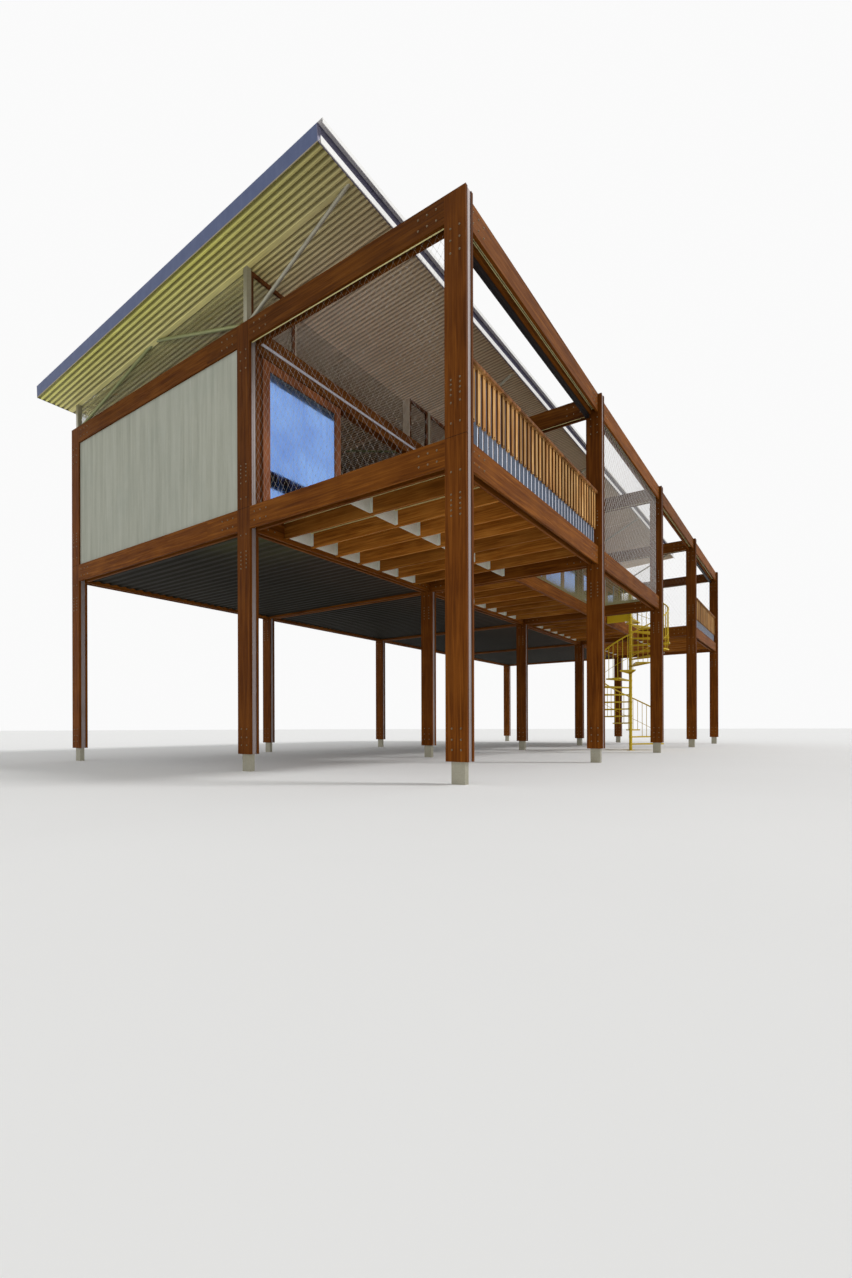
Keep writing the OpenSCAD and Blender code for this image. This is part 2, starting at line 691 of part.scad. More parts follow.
// Handrail: a round bar swept up the helix over the balusters
module stair_handrail() color("gold") {
    sides = grip_sides;
    last = guard_n - 1;
    pts = [for (n = [0:last], j = [0:sides - 1])
        let (a = guard_a(n),
            r = grip_r + grip_d / 2 * cos((j + 0.5) * 360 / sides))
        [stair_x + r * cos(a), stair_y + r * sin(a),
            guard_z(n) + grip_d / 2 * sin((j + 0.5) * 360 / sides)]];
    polyhedron(points = pts, faces = concat(
        [[for (j = [0:sides - 1]) j]],
        [for (n = [0:last - 1], j = [0:sides - 1], t = [0, 1])
            let (p = n * sides + j, q = n * sides + (j + 1) % sides)
            t == 0 ? [p, p + sides, q] : [q, p + sides, q + sides]],
        [[for (j = [sides - 1:-1:0]) last * sides + j]]));
}
// Landing: a plate from the top tread's upper edge round to the walkway, on a
// deep side plate that runs from the pole to the walkway
land_turn = 90 - top_angle;
land_root = pole_d / 2 / cos(land_turn / 8);
module stair_landing() color("gold") translate([stair_x, stair_y, 0]) {
    translate([0, 0, deck_top - tread_t]) linear_extrude(tread_t) difference() {
        polygon([
            for (a = [90, 73, 56, 39, top_angle]) land_root * [cos(a), sin(a)],
            for (a = [top_angle, (top_angle + land_a) / 2, land_a])
                stair_r * [cos(a), sin(a)],
            [land_x, 2 * stair_r], [0, 2 * stair_r]]);
        translate([-stair_r, land_w]) square(3 * stair_r);
    }
    translate([0, land_root, beam_low])
        cube([plate_t, land_w - land_root, deck_top - beam_low]);
}

front_posts();
middle_posts();
rear_posts();
post_cores();
post_stubs();
front_floor_beams();
middle_floor_beams();
rear_floor_beams();
cross_floor_beams();
floor_beam_cores();
front_top_beams();
middle_top_beams();
rear_top_beams();
cross_top_beams();
top_beam_cores();
deck_joists();
deck_blocking();
deck_boards();
walkway_beam();
house_floor();
underfloor_sheet();
end_walls();
rear_wall();
window_frames();
window_glass();
door_head();
door_track();
door_leaf();
door_glass();
clerestory_frames();
clerestory_glass();
roof_columns();
front_struts();
rear_struts();
roof_rafters();
roof_soffit();
roof_sheet();
roof_front_channel();
roof_side_plates();
roof_rear_plate();
balustrade_battens();
balustrade_fins();
blind_tracks();
end_mesh();
net_bay_mesh();
walkway_mesh();
fence_posts();
stair_side_mesh();
hanging_net();
stair_pole();
stair_treads();
stair_balusters();
stair_handrail();
stair_landing();
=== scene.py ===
"""Looks of the stilt house: timber, steel, glass, cable mesh, net, bolts and studio."""
import math
import random

import bpy
from mathutils import Matrix, Vector


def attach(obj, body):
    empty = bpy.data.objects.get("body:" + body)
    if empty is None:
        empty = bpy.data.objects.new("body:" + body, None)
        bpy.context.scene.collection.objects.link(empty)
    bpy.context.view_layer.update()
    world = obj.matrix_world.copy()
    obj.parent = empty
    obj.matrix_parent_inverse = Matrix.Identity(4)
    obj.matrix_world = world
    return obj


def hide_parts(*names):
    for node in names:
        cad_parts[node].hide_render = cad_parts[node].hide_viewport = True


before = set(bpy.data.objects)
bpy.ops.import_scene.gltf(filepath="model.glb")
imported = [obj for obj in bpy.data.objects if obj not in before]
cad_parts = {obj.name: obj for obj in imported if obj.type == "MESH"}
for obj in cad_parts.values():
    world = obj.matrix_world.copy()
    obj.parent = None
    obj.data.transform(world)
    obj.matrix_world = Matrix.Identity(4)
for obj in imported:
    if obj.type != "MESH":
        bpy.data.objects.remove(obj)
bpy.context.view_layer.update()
draw = random.Random(7)

# Sizes in metres: spacing, thickness and width of the posts, and one timber board
BAY, POST_T, POST_W, BOARD = 5.4, 0.18, 0.32, 0.045
SPAN, SETBACK = BAY - POST_T, (POST_W - POST_T) / 2
# How far the steel cores sit back, and how high over their beam's lower edge
INSET, CORE_RISE = 0.012, 0.08
# Floor, depth of a beam, clear height, and the undersides of the two beam levels
FLOOR, BEAM, CLEAR = 4.4, 0.36, 2.74
FLOOR_LOW, TOP_LOW = FLOOR - BEAM, FLOOR + CLEAR
TOP = TOP_LOW + BEAM
# Front faces of the three post rows, and left faces of the five post lines
ROWS = [-5.304, -1.154, 4.746]
LINES = [(i - 2) * BAY - POST_T / 2 for i in range(5)]
# Open strip along the front, with the net and the stair, and its edge beam
VOID_Y, EDGE = ROWS[0] + 1.95, 0.09
# Joist spaces of a bay, thickness of a joist, top and rear end of the joists
JOISTS, JOIST_T = 8, 0.045
JOIST_TOP, JOIST_END = FLOOR - 0.028, ROWS[1] + SETBACK
# Heights of the balustrade and the mesh fence, depth of the top rail, battens in a
# bay, their spacing and the height of their feet
RAIL, FENCE, RAIL_T = 1.12, 1.04, 0.04
BATTENS, BATTEN_PITCH, BATTEN_LIFT = 36, 0.145, 0.35
# Leaves of the glazing: stiles, thickness, pane, and width and height of one that slides
STILE, LEAF_T, PANE_T, LEAF_W, LEAF_H = 0.145, 0.045, 0.01, 1.93, 2.695
# Wall panels: thickness, and width of one sheet in an end wall
WALL_T, SHEET_W = 0.11, (ROWS[2] - ROWS[1] - POST_W) / 4
# Spiral stair: its radius and its pole's, number of risers, and centre
STAIR_R, POLE_R, RISERS = 1.14, 0.0475, 20
STAIR_X, STAIR_Y = POST_T / 2 + 0.07 + STAIR_R, ROWS[0] + 0.09 + STAIR_R
# Rise and turn of a step, angle of the topmost edge, thickness of a tread, height
# and diameter of the handrail, and right edge of the landing
RISE, TURN, TOP_ANGLE = FLOOR / RISERS, math.radians(22.5), math.radians(22)
TREAD_T, GUARD, GRIP = 0.04, 1.02, 0.042
LAND_X = STAIR_X + STAIR_R * math.cos(math.radians(36))
# Roof: fall, front lower edge and side
FALL, EAVE_D, ROOF_CLEAR = math.radians(4), 1.95, 1.27
EAVE_Y, EAVE_Z = ROWS[0] + EAVE_D, TOP + ROOF_CLEAR - EAVE_D * math.tan(FALL)
ROOF_X = 2 * BAY + POST_T / 2 + 0.61

# Mesh building
BOX_FACES = [(0, 2, 3, 1), (4, 5, 7, 6), (0, 1, 5, 4),
             (2, 6, 7, 3), (0, 4, 6, 2), (1, 3, 7, 5)]
X_AXIS, Z_AXIS = Vector((1, 0, 0)), Vector((0, 0, 1))


def square_to(axis):
    """A direction square to another one."""
    return axis.cross(Z_AXIS if abs(axis.z) < 0.9 else X_AXIS).normalized()


def circle(centre, u, w, radius, sides):
    """Points round a centre, in the plane of u and w."""
    angles = [2 * math.pi * j / sides for j in range(sides)]
    return [centre + (u * math.cos(a) + w * math.sin(a)) * radius for a in angles]


class Build:
    """Collects faces and turns them into one piece."""

    def __init__(self):
        self.points, self.faces, self.mats, self.smooth = [], [], [], []

    def add(self, points, faces, mat=0, smooth=False):
        first = len(self.points)
        self.points.extend([tuple(p) for p in points])
        self.faces.extend([tuple(first + i for i in face) for face in faces])
        self.mats.extend([mat] * len(faces))
        self.smooth.extend([smooth] * len(faces))

    def box(self, x0, x1, y0, y1, z0, z1):
        """A box between two values of each axis, in either order."""
        xs, ys, zs = sorted((x0, x1)), sorted((y0, y1)), sorted((z0, z1))
        self.add([(x, y, z) for z in zs for y in ys for x in xs], BOX_FACES)

    def bevel_box(self, x0, x1, y0, y1, z0, z1, cut):
        """A box whose twelve edges are cut back."""
        low, high = (x0, y0, z0), (x1, y1, z1)
        points, index = [], {}
        for corner in range(8):
            side = [(corner >> a) & 1 for a in range(3)]
            for axis in range(3):
                p = [high[a] if side[a] else low[a] for a in range(3)]
                for a in range(3):
                    if a != axis:
                        p[a] += -cut if side[a] else cut
                index[(tuple(side), axis)] = len(points)
                points.append(p)
        faces = []
        for axis in range(3):
            a, b = (axis + 1) % 3, (axis + 2) % 3
            for s in (0, 1):
                ring = []
                for u, w in ((0, 0), (1, 0), (1, 1), (0, 1)):
                    k = [0, 0, 0]
                    k[axis], k[a], k[b] = s, u, w
                    ring.append(index[(tuple(k), axis)])
                faces.append(ring if s else ring[::-1])
            for u in (0, 1):
                for w in (0, 1):
                    k0, k1 = [0, 0, 0], [0, 0, 0]
                    k0[a] = k1[a] = u
                    k0[b] = k1[b] = w
                    k1[axis] = 1
                    strip = [index[(tuple(k0), a)], index[(tuple(k1), a)],
                             index[(tuple(k1), b)], index[(tuple(k0), b)]]
                    faces.append(strip if u == w else strip[::-1])
        for corner in range(8):
            side = tuple((corner >> a) & 1 for a in range(3))
            tip = [index[(side, a)] for a in range(3)]
            faces.append(tip if sum(side) % 2 else tip[::-1])
        self.add(points, faces)

    def slab(self, centre, axes):
        """An oriented box: axes are three half-length vectors."""
        u, v, w = [Vector(a) for a in axes]
        points = [Vector(centre) + u * x + v * y + w * z
                  for z in (-1, 1) for y in (-1, 1) for x in (-1, 1)]
        mirrored = u.cross(v).dot(w) < 0
        self.add(points, [face[::-1] for face in BOX_FACES] if mirrored else BOX_FACES)

    def skin(self, rings, mat=0, smooth=True, closed=False, caps=True):
        """Joins rings of points, and caps the two ends."""
        first, count, sides = len(self.points), len(rings), len(rings[0])
        faces = []
        for i in range(count if closed else count - 1):
            a, b = i * sides, (i + 1) % count * sides
            for j in range(sides):
                k = (j + 1) % sides
                faces.append((a + j, a + k, b + k, b + j))
        self.add([p for ring in rings for p in ring], faces, mat, smooth)
        if caps and not closed:
            last = first + (count - 1) * sides
            self.faces.append(tuple(range(first, first + sides))[::-1])
            self.faces.append(tuple(range(last, last + sides)))
            self.mats.extend([mat] * 2)
            self.smooth.extend([False] * 2)

    def tube(self, path, radius, sides=6, closed=False, mat=0, caps=True):
        """A round bar along a path."""
        path = [Vector(p) for p in path]
        count = len(path)
        rings, normal = [], None
        for i in range(count):
            before = path[(i - 1) % count] if closed or i > 0 else path[i]
            after = path[(i + 1) % count] if closed or i < count - 1 else path[i]
            along = (after - before).normalized()
            if normal is None:
                normal = square_to(along)
            else:
                normal = (normal - along * normal.dot(along)).normalized()
            rings.append(circle(path[i], normal, along.cross(normal), radius, sides))
        self.skin(rings, mat, closed=closed, caps=caps)

    def turned(self, at, axis, profile, sides=8, smooth=True):
        """A turned part: profile is (distance along the axis, radius) pairs."""
        axis = Vector(axis).normalized()
        u = square_to(axis)
        w = axis.cross(u)
        self.skin([circle(Vector(at) + axis * d, u, w, r, sides) for d, r in profile],
                  smooth=smooth)

    def make(self, name, *mats, body="house", slot=None, replaces=()):
        mesh = bpy.data.meshes.new(name)
        mesh.from_pydata(self.points, [], self.faces)
        mesh.polygons.foreach_set("material_index", self.mats)
        mesh.polygons.foreach_set("use_smooth", self.smooth)
        for mat in mats:
            mesh.materials.append(mat)
        mesh.update()
        obj = bpy.data.objects.new(name, mesh)
        bpy.context.scene.collection.objects.link(obj)
        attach(obj, body)
        if replaces:
            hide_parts(*replaces)


def on_roof(x, v, w):
    """A point in the roof's own plane: v down the fall, w out of it."""
    return Vector((x, EAVE_Y + v * math.cos(FALL) + w * math.sin(FALL),
                   EAVE_Z - v * math.sin(FALL) + w * math.cos(FALL)))


# Materials
def srgb(*levels):
    """A colour given in steps of 255, as the renderer's linear numbers."""
    shares = [level / 255 for level in levels]
    linear = [c / 12.92 if c <= 0.04045 else ((c + 0.055) / 1.055) ** 2.4 for c in shares]
    return (*linear, 1.0)


def darker(colour, share):
    return tuple(c * share for c in colour[:3]) + (1.0,)


class Shade:
    """A small helper around one material, a new one where its name is given."""

    def __init__(self, mat):
        if isinstance(mat, str):
            mat = bpy.data.materials.new(mat)
            mat.use_nodes = True
        self.mat, self.tree = mat, mat.node_tree
        self.shader = self.tree.nodes["Principled BSDF"]
        self.place = self.node("ShaderNodeTexCoord").outputs["Object"]

    def put(self, node, key, value):
        """Sets a socket, named or numbered, or links it to another node's output."""
        socket = node.inputs[key.replace("_", " ") if isinstance(key, str) else key]
        if isinstance(value, bpy.types.NodeSocket):
            self.tree.links.new(value, socket)
        else:
            socket.default_value = value

    def node(self, kind, sockets=(), **settings):
        node = self.tree.nodes.new(kind)
        for key, value in settings.items():
            setattr(node, key, value)
        for key, value in dict(sockets).items():
            self.put(node, key, value)
        return node

    def set(self, **sockets):
        for key, value in sockets.items():
            self.put(self.shader, key, value)

    def stretch(self, scale, place=None, shift=(0, 0, 0)):
        return self.node("ShaderNodeMapping", {
            "Vector": place or self.place, "Scale": scale, "Location": shift}).outputs[0]

    def noise(self, place, scale, detail=4.0, rough=0.55, distort=0.0):
        return self.node("ShaderNodeTexNoise", {
            "Vector": place, "Scale": scale, "Detail": detail, "Roughness": rough,
            "Distortion": distort}).outputs["Fac"]

    def ramp(self, value, stops):
        node = self.node("ShaderNodeValToRGB", {"Fac": value})
        points = node.color_ramp.elements
        while len(points) < len(stops):
            points.new(0.5)
        for k, (position, colour) in enumerate(stops):
            points[k].position = position
            points[k].color = colour
        return node.outputs["Color"]

    def grey(self, value, low, high, start=0.0, end=1.0):
        """Goes from low to high as the value goes from start to end."""
        return self.node("ShaderNodeMapRange", {
            "Value": value, "From Min": start, "From Max": end, "To Min": low,
            "To Max": high}).outputs["Result"]

    def mix(self, share, under, over):
        sockets = {0: share, 6: under, 7: over}
        return self.node("ShaderNodeMix", sockets, data_type="RGBA").outputs[2]

    def tint(self, under, over, value, most, start=0.0, end=1.0):
        """Lays a colour over another, up to the share most as the value rises."""
        return self.mix(self.grey(value, 0.0, most, start, end), under, over)

    def maths(self, kind, *values):
        sockets = dict(enumerate(values))
        return self.node("ShaderNodeMath", sockets, operation=kind).outputs[0]

    def vector(self, kind, sockets):
        return self.node("ShaderNodeVectorMath", sockets, operation=kind).outputs[0]

    def split(self, vector):
        return self.node("ShaderNodeSeparateXYZ", {0: vector}).outputs

    def axis(self, k):
        return self.split(self.place)[k]

    def cells(self, step, place=None):
        """A number from 0 to 1 for each cell of a grid with that step."""
        grid = self.stretch([1 / s if s else 0 for s in step], place)
        sockets = {"Vector": self.vector("FLOOR", {0: grid})}
        return self.node("ShaderNodeTexWhiteNoise", sockets).outputs["Value"]

    def roof_part(self, first, second, sign):
        """One measure in the roof's own plane, from two axes and their origins."""
        (a, a0), (b, b0) = first, second
        rest = self.maths("MULTIPLY", self.maths("SUBTRACT", self.axis(a), a0),
                          sign * math.sin(FALL))
        return self.maths("MULTIPLY_ADD", self.maths("SUBTRACT", self.axis(b), b0),
                          math.cos(FALL), rest)

    def lift(self):
        """Height over the roof's own lower plane."""
        return self.roof_part((1, EAVE_Y), (2, EAVE_Z), 1)

    def fall(self):
        """Distance down the roof's slope from its front edge."""
        return self.roof_part((2, EAVE_Z), (1, EAVE_Y), -1)

    def facing(self):
        """The surface's own normal, in the part's frame."""
        return self.split(self.node("ShaderNodeTexCoord").outputs["Normal"])

    def bump(self, height, distance, strength):
        node = self.node("ShaderNodeBump", {
            "Strength": strength, "Distance": distance, "Height": height})
        socket = self.shader.inputs["Normal"]
        if socket.is_linked:
            self.put(node, "Normal", socket.links[0].from_socket)
        self.put(self.shader, "Normal", node.outputs["Normal"])

    def colour(self):
        """What the shader's colour is linked to."""
        return self.shader.inputs["Base Color"].links[0].from_socket


GRAIN_STOPS = (0.28, 0.5, 0.72)
GRAIN_ACROSS, GRAIN_ALONG = 26.0, 0.9
# A cell a hair narrower than half a post, so that its two boards differ in tone
BOARD_CELL = 0.0899


def timber(name, along, tones, cell, rough=(0.5, 0.7), spread=0.16, gloss=0.06,
           other=None, edges=None, height_shade=None):
    """Stained sawn timber, its grain along axis 0, 1 or 2, in a dark, a middle
    and a light tone; other is a second stain: the axis and value it starts from,
    and its tones; edges is painted shade, a darker tone on the faces that look
    along X; the last argument is painted shade by height: how light it is low down and high up."""
    shade = Shade(name)
    dark, _, light = tones
    across = [GRAIN_ACROSS] * 3
    across[along] = GRAIN_ALONG
    board = shade.cells(cell)
    place = shade.vector("ADD", {0: shade.place, 1: shade.maths("MULTIPLY", board, 37.0)})
    grain = shade.noise(shade.stretch(across, place), 1.0, 6.0, 0.6, 0.8)
    fine = shade.noise(shade.stretch([a * 5 for a in across], place), 1.0, 3.0, 0.5, 0.2)
    cloud = shade.noise(place, 1.3, 3.0, 0.5)
    col = shade.ramp(grain, list(zip(GRAIN_STOPS, tones)))
    col = shade.tint(col, dark, fine, 0.28, 0.35, 0.7)
    col = shade.tint(col, light, cloud, 0.35, 0.45, 0.75)
    if other:
        axis, start, second = other
        col = shade.tint(col, shade.ramp(grain, list(zip(GRAIN_STOPS, second))),
                         shade.axis(axis), 1.0, start - 0.001, start + 0.001)
    # Painted shade: faces that look along X, the sides of battens in the gaps between them, are
    # darker
    if edges:
        turned = shade.maths("ABSOLUTE", shade.facing()[0])
        col = shade.tint(col, edges, turned, 0.85, 0.4, 0.8)
    tone = shade.grey(board, 1 - spread, 1 + spread)
    # Painted shade by height: lighter low down, darker high up
    if height_shade:
        tone = shade.maths("MULTIPLY", tone, shade.grey(shade.axis(2), *height_shade, 1.0, TOP))
    shade.set(Base_Color=shade.vector("SCALE", {0: col, "Scale": tone}),
              Roughness=shade.grey(fine, *rough, 0.3, 0.7), Specular_IOR_Level=gloss)
    shade.bump(fine, 0.0012, 0.5)
    shade.bump(grain, 0.002, 0.3)
    return shade.mat


def steel(name, base, metal, spangle=55.0, stain=None):
    """Galvanised steel with its crystal pattern and dull patches."""
    shade = Shade(name)
    crystal = shade.node("ShaderNodeTexVoronoi", {"Vector": shade.place, "Scale": spangle})
    cell = shade.split(crystal.outputs["Color"])
    cloud = shade.noise(shade.place, 2.2, 4.0, 0.6)
    dull = darker(base, 0.72)
    col = shade.tint(base, dull, cell[0], 0.35)
    col = shade.tint(col, stain or dull, cloud, 0.5, 0.5, 0.8)
    shade.set(Base_Color=col, Metallic=metal, Roughness=shade.grey(cell[1], 0.34, 0.55))
    shade.bump(shade.noise(shade.place, 140.0, 2.0), 0.0004, 0.35)
    return shade.mat


def sheet_metal(name, base, over, metal=0.35, rough=(0.38, 0.55), gloss=0.5):
    """Rolled sheet with long faint streaks down the fall."""
    shade = Shade(name)
    streak = shade.noise(shade.stretch((30, 0.6, 30)), 1.0, 4.0, 0.6)
    patch = shade.noise(shade.place, 0.7, 3.0, 0.5)
    col = shade.tint(base, over, streak, 0.4, 0.4, 0.75)
    col = shade.tint(col, over, patch, 0.4, 0.45, 0.75)
    shade.set(Base_Color=col, Metallic=metal, Roughness=shade.grey(streak, *rough),
              Specular_IOR_Level=gloss)
    shade.bump(shade.noise(shade.place, 60.0, 2.0), 0.0005, 0.3)
    return shade.mat


def plain(name, base, rough=0.45, metal=0.0, wear=None, scale=30.0, gloss=0.5):
    """Paint or moulded finish with small tone changes."""
    shade = Shade(name)
    fine = shade.noise(shade.place, scale, 5.0, 0.6)
    cloud = shade.noise(shade.place, 1.7, 3.0)
    col = shade.tint(base, darker(base, 0.8), cloud, 0.6, 0.35, 0.75)
    if wear:
        col = shade.tint(col, wear, fine, 1.0, 0.68, 0.74)
    shade.set(Base_Color=col, Metallic=metal, Specular_IOR_Level=gloss,
              Roughness=shade.grey(fine, rough - 0.06, rough + 0.1))
    shade.bump(fine, 0.0006, 0.3)
    return shade.mat


def lined_frame():
    """Clerestory timber, with the pale lining of the wide opening in each bay."""
    mat = timber("high_frame_timber", 2, (srgb(58, 28, 8), srgb(88, 46, 16), srgb(120, 68, 28)),
                 (0.5, 0, 0), rough=(0.4, 0.55), gloss=0.2)
    shade = Shade(mat)
    left, right = 1.14, 4.69
    along = shade.maths("MODULO", shade.maths("SUBTRACT", shade.axis(0), LINES[0]), BAY)
    after = shade.grey(along, 0.0, 1.0, left - 0.001, left + 0.001)
    before = shade.grey(along, 1.0, 0.0, right - 0.001, right + 0.001)
    cloud = shade.noise(shade.place, 5.0, 4.0, 0.6)
    pale = shade.tint(srgb(206, 192, 172), srgb(182, 166, 146), cloud, 1.0, 0.35, 0.7)
    lining = shade.maths("MULTIPLY", after, before)
    shade.set(Base_Color=shade.mix(lining, shade.colour(), pale))
    return mat


def fascia():
    """Blue-grey coated plate with a beige turned-in edge along its foot."""
    shade = Shade("fascia_metal")
    fine = shade.noise(shade.place, 6.0, 5.0, 0.6)
    run = shade.noise(shade.stretch((9, 9, 0.7)), 1.0, 4.0, 0.6)
    col = shade.tint(srgb(77, 90, 127), srgb(68, 80, 116), fine, 0.5, 0.35, 0.75)
    col = shade.tint(col, srgb(100, 109, 140), run, 0.35, 0.5, 0.8)
    foot = shade.grey(shade.lift(), 1.0, 0.0, 0.016, 0.019)
    col = shade.mix(foot, col, srgb(158, 146, 118))
    shade.set(Base_Color=col, Metallic=0.2, Roughness=shade.grey(fine, 0.4, 0.56),
              Specular_IOR_Level=0.3)
    shade.bump(fine, 0.0005, 0.3)
    return shade.mat


def channel():
    """Front channel: a violet-grey web between two turned lips, made pale for painted sunlight.
    """
    shade = Shade("channel_metal")
    fine = shade.noise(shade.stretch((2, 9, 9)), 1.0, 4.0, 0.6)
    # Painted sunlight: the lips almost white
    sunlit_lip = shade.tint(srgb(232, 230, 226), srgb(206, 204, 202), fine, 0.5, 0.4, 0.75)
    deep = shade.tint(srgb(116, 114, 138), srgb(98, 96, 118), fine, 0.6, 0.35, 0.75)
    shade.set(Base_Color=shade.tint(sunlit_lip, deep, shade.fall(), 1.0, -0.022, -0.012),
              Metallic=0.15, Roughness=shade.grey(fine, 0.36, 0.5))
    shade.bump(fine, 0.0006, 0.2)
    return shade.mat


def soffit_metal():
    """Ribbed soffit: a painted yellow-green reflection at the left overhang, a painted beige
    reflection inside, and painted shade towards the front and in the grooves.
    """
    shade = Shade("soffit_metal")
    streak = shade.noise(shade.stretch((24, 0.5, 24)), 1.0, 4.0, 0.6)
    patch = shade.noise(shade.place, 0.6, 3.0, 0.5)
    # Painted reflections: beige of the timber inside, yellow-green of the grass at the left
    # overhang
    timber_reflection = shade.tint(srgb(255, 234, 210), srgb(246, 218, 188), patch, 1.0, 0.35, 0.7)
    grass_reflection = shade.tint(srgb(248, 246, 138), srgb(232, 230, 118), patch, 1.0, 0.35, 0.7)
    side = shade.grey(shade.axis(0), 1.0, 0.0, LINES[0] - 0.6, LINES[0] + 1.4)
    front = shade.grey(shade.axis(1), 0.0, 1.0, EAVE_Y - 0.2, EAVE_Y + 2.6)
    # Painted shade: both darker towards the front edge
    timber_reflection = shade.mix(front, srgb(204, 184, 150), timber_reflection)
    grass_reflection = shade.mix(front, srgb(190, 180, 120), grass_reflection)
    col = shade.tint(shade.mix(side, timber_reflection, grass_reflection), srgb(120, 112, 88), streak, 0.3, 0.4, 0.8)
    # Painted shade in the grooves, strongest at the left end and at the front
    depth = shade.maths("MAXIMUM", shade.grey(side, 0.5, 0.76), shade.grey(front, 0.6, 0.32))
    groove_shade = shade.maths("MULTIPLY", shade.grey(shade.lift(), 0.0, 1.0, 0.004, 0.016), depth)
    col = shade.mix(groove_shade, col, shade.mix(side, srgb(96, 78, 62), srgb(84, 80, 30)))
    shade.set(Base_Color=col, Metallic=0.1, Roughness=shade.grey(streak, 0.4, 0.55),
              Specular_IOR_Level=0.3)
    shade.bump(shade.noise(shade.place, 60.0, 2.0), 0.0005, 0.3)
    return shade.mat


def underfloor():
    """Dark ribbed sheet, darkened further for painted shade under the house, with painted
    light in brown along its front and a painted yellow-green reflection on the ribs at the left
    corner.
    """
    # Base darker than the sheet's own colour: painted shade under the house
    mat = sheet_metal("underfloor_metal", srgb(38, 34, 24), srgb(26, 22, 15), metal=0.0,
                      rough=(0.55, 0.7), gloss=0.12)
    shade = Shade(mat)
    # Painted light: brown along the front, and a yellow-green reflection of grass on the ribs
    # at the left corner
    front = shade.grey(shade.axis(1), 1.0, 0.0, ROWS[1] + 0.2, ROWS[1] + 2.6)
    left = shade.grey(shade.axis(0), 1.0, 0.0, LINES[0], LINES[0] + 2.4)
    patch = shade.grey(shade.noise(shade.place, 0.8, 3.0), 0.5, 1.0, 0.35, 0.65)
    grass_reflection_ribs = shade.tint(srgb(96, 98, 62), srgb(58, 60, 36), shade.cells((0.095, 0, 0)), 1.0)
    painted_light = shade.mix(left, srgb(60, 48, 38), grass_reflection_ribs)
    share = shade.maths("MULTIPLY", front, patch)
    shade.set(Base_Color=shade.mix(share, shade.colour(), painted_light))
    return mat


def cement():
    """Fibre-cement sheet: pale grey-green, brushed up and down."""
    shade = Shade("fibre_cement")
    brush = shade.noise(shade.stretch((9, 9, 0.5)), 1.0, 6.0, 0.65)
    fine = shade.noise(shade.stretch((160, 160, 9)), 1.0, 3.0, 0.6)
    patch = shade.noise(shade.place, 0.9, 4.0, 0.6)
    batch = shade.cells((0, SHEET_W, 0), shade.stretch((1, 1, 1), shift=(0, -0.831, 0)))
    col = shade.ramp(brush, [(0.25, srgb(150, 152, 136)), (0.5, srgb(172, 174, 158)),
                             (0.75, srgb(188, 190, 176))])
    col = shade.tint(col, srgb(196, 198, 188), fine, 0.3, 0.4, 0.75)
    col = shade.tint(col, srgb(150, 158, 146), patch, 0.4, 0.5, 0.8)
    col = shade.tint(col, srgb(146, 154, 148), batch, 0.18)
    shade.set(Base_Color=col, Roughness=shade.grey(fine, 0.68, 0.85))
    shade.bump(fine, 0.0012, 0.4)
    shade.bump(brush, 0.002, 0.3)
    return shade.mat


def glass(name, base, film_and_reflection, metal, alpha, gloss):
    """Panes, slightly uneven, with a colour and a second one laid in patches and faint runs: a
    thin haze on the clear panes, and on the blue panes both colours a painted reflection of the
    sky.
    """
    shade = Shade(name)
    patch = shade.noise(shade.place, 1.3, 3.0, 0.5)
    run = shade.noise(shade.stretch((14.0, 14.0, 0.7)), 1.0, 4.0, 0.6)
    # On the blue panes, a second blue in patches and runs: painted sky reflection
    col = shade.tint(base, film_and_reflection, patch, 0.8, 0.35, 0.7)
    col = shade.tint(col, film_and_reflection, run, 0.5, 0.5, 0.75)
    shade.set(Base_Color=col, Roughness=shade.grey(run, 0.015, 0.1, 0.35, 0.75), IOR=1.45,
              Metallic=metal, Alpha=alpha, Transmission_Weight=1.0,
              Specular_IOR_Level=gloss)
    shade.bump(shade.noise(shade.place, 0.8, 2.0), 0.001, 0.2)
    return shade.mat


BEAM_TONES = srgb(74, 36, 5), srgb(110, 60, 12), srgb(146, 88, 28)
POST_TONES = srgb(66, 31, 5), srgb(99, 52, 10), srgb(128, 74, 22)
# Posts: painted shade by height, lighter low down and darker high up
m_post = timber("post_timber", 2, POST_TONES, (BOARD_CELL, 4.1, 0), height_shade=(1.22, 0.84))
m_beam_x = timber("beam_timber_x", 0, BEAM_TONES, (BAY, BOARD_CELL, 3.1))
# Cross beams: painted shade by height, lighter low down and darker high up
m_beam_y = timber("beam_timber_y", 1, BEAM_TONES, (BOARD_CELL, 5.9, 3.1), height_shade=(1.3, 0.68))
m_joist = timber("joist_timber", 1, (srgb(104, 60, 14), srgb(162, 100, 34), srgb(198, 134, 58)),
                 (SPAN / JOISTS, 9, 9), spread=0.24)
m_plank = timber("deck_timber", 0, (srgb(84, 50, 22), srgb(122, 78, 40), srgb(150, 104, 62)),
                 (0, 0.096, 0), rough=(0.55, 0.75), spread=0.25)
m_floor = timber("floor_timber", 0, (srgb(120, 84, 50), srgb(158, 116, 72), srgb(186, 146, 98)),
                 (1.8, 0.13, 0), rough=(0.3, 0.45), gloss=0.4)
m_frame = timber("frame_timber", 2, (srgb(84, 38, 8), srgb(128, 66, 18), srgb(166, 94, 34)),
                 (0.5, 0, 0), rough=(0.38, 0.55), gloss=0.25)
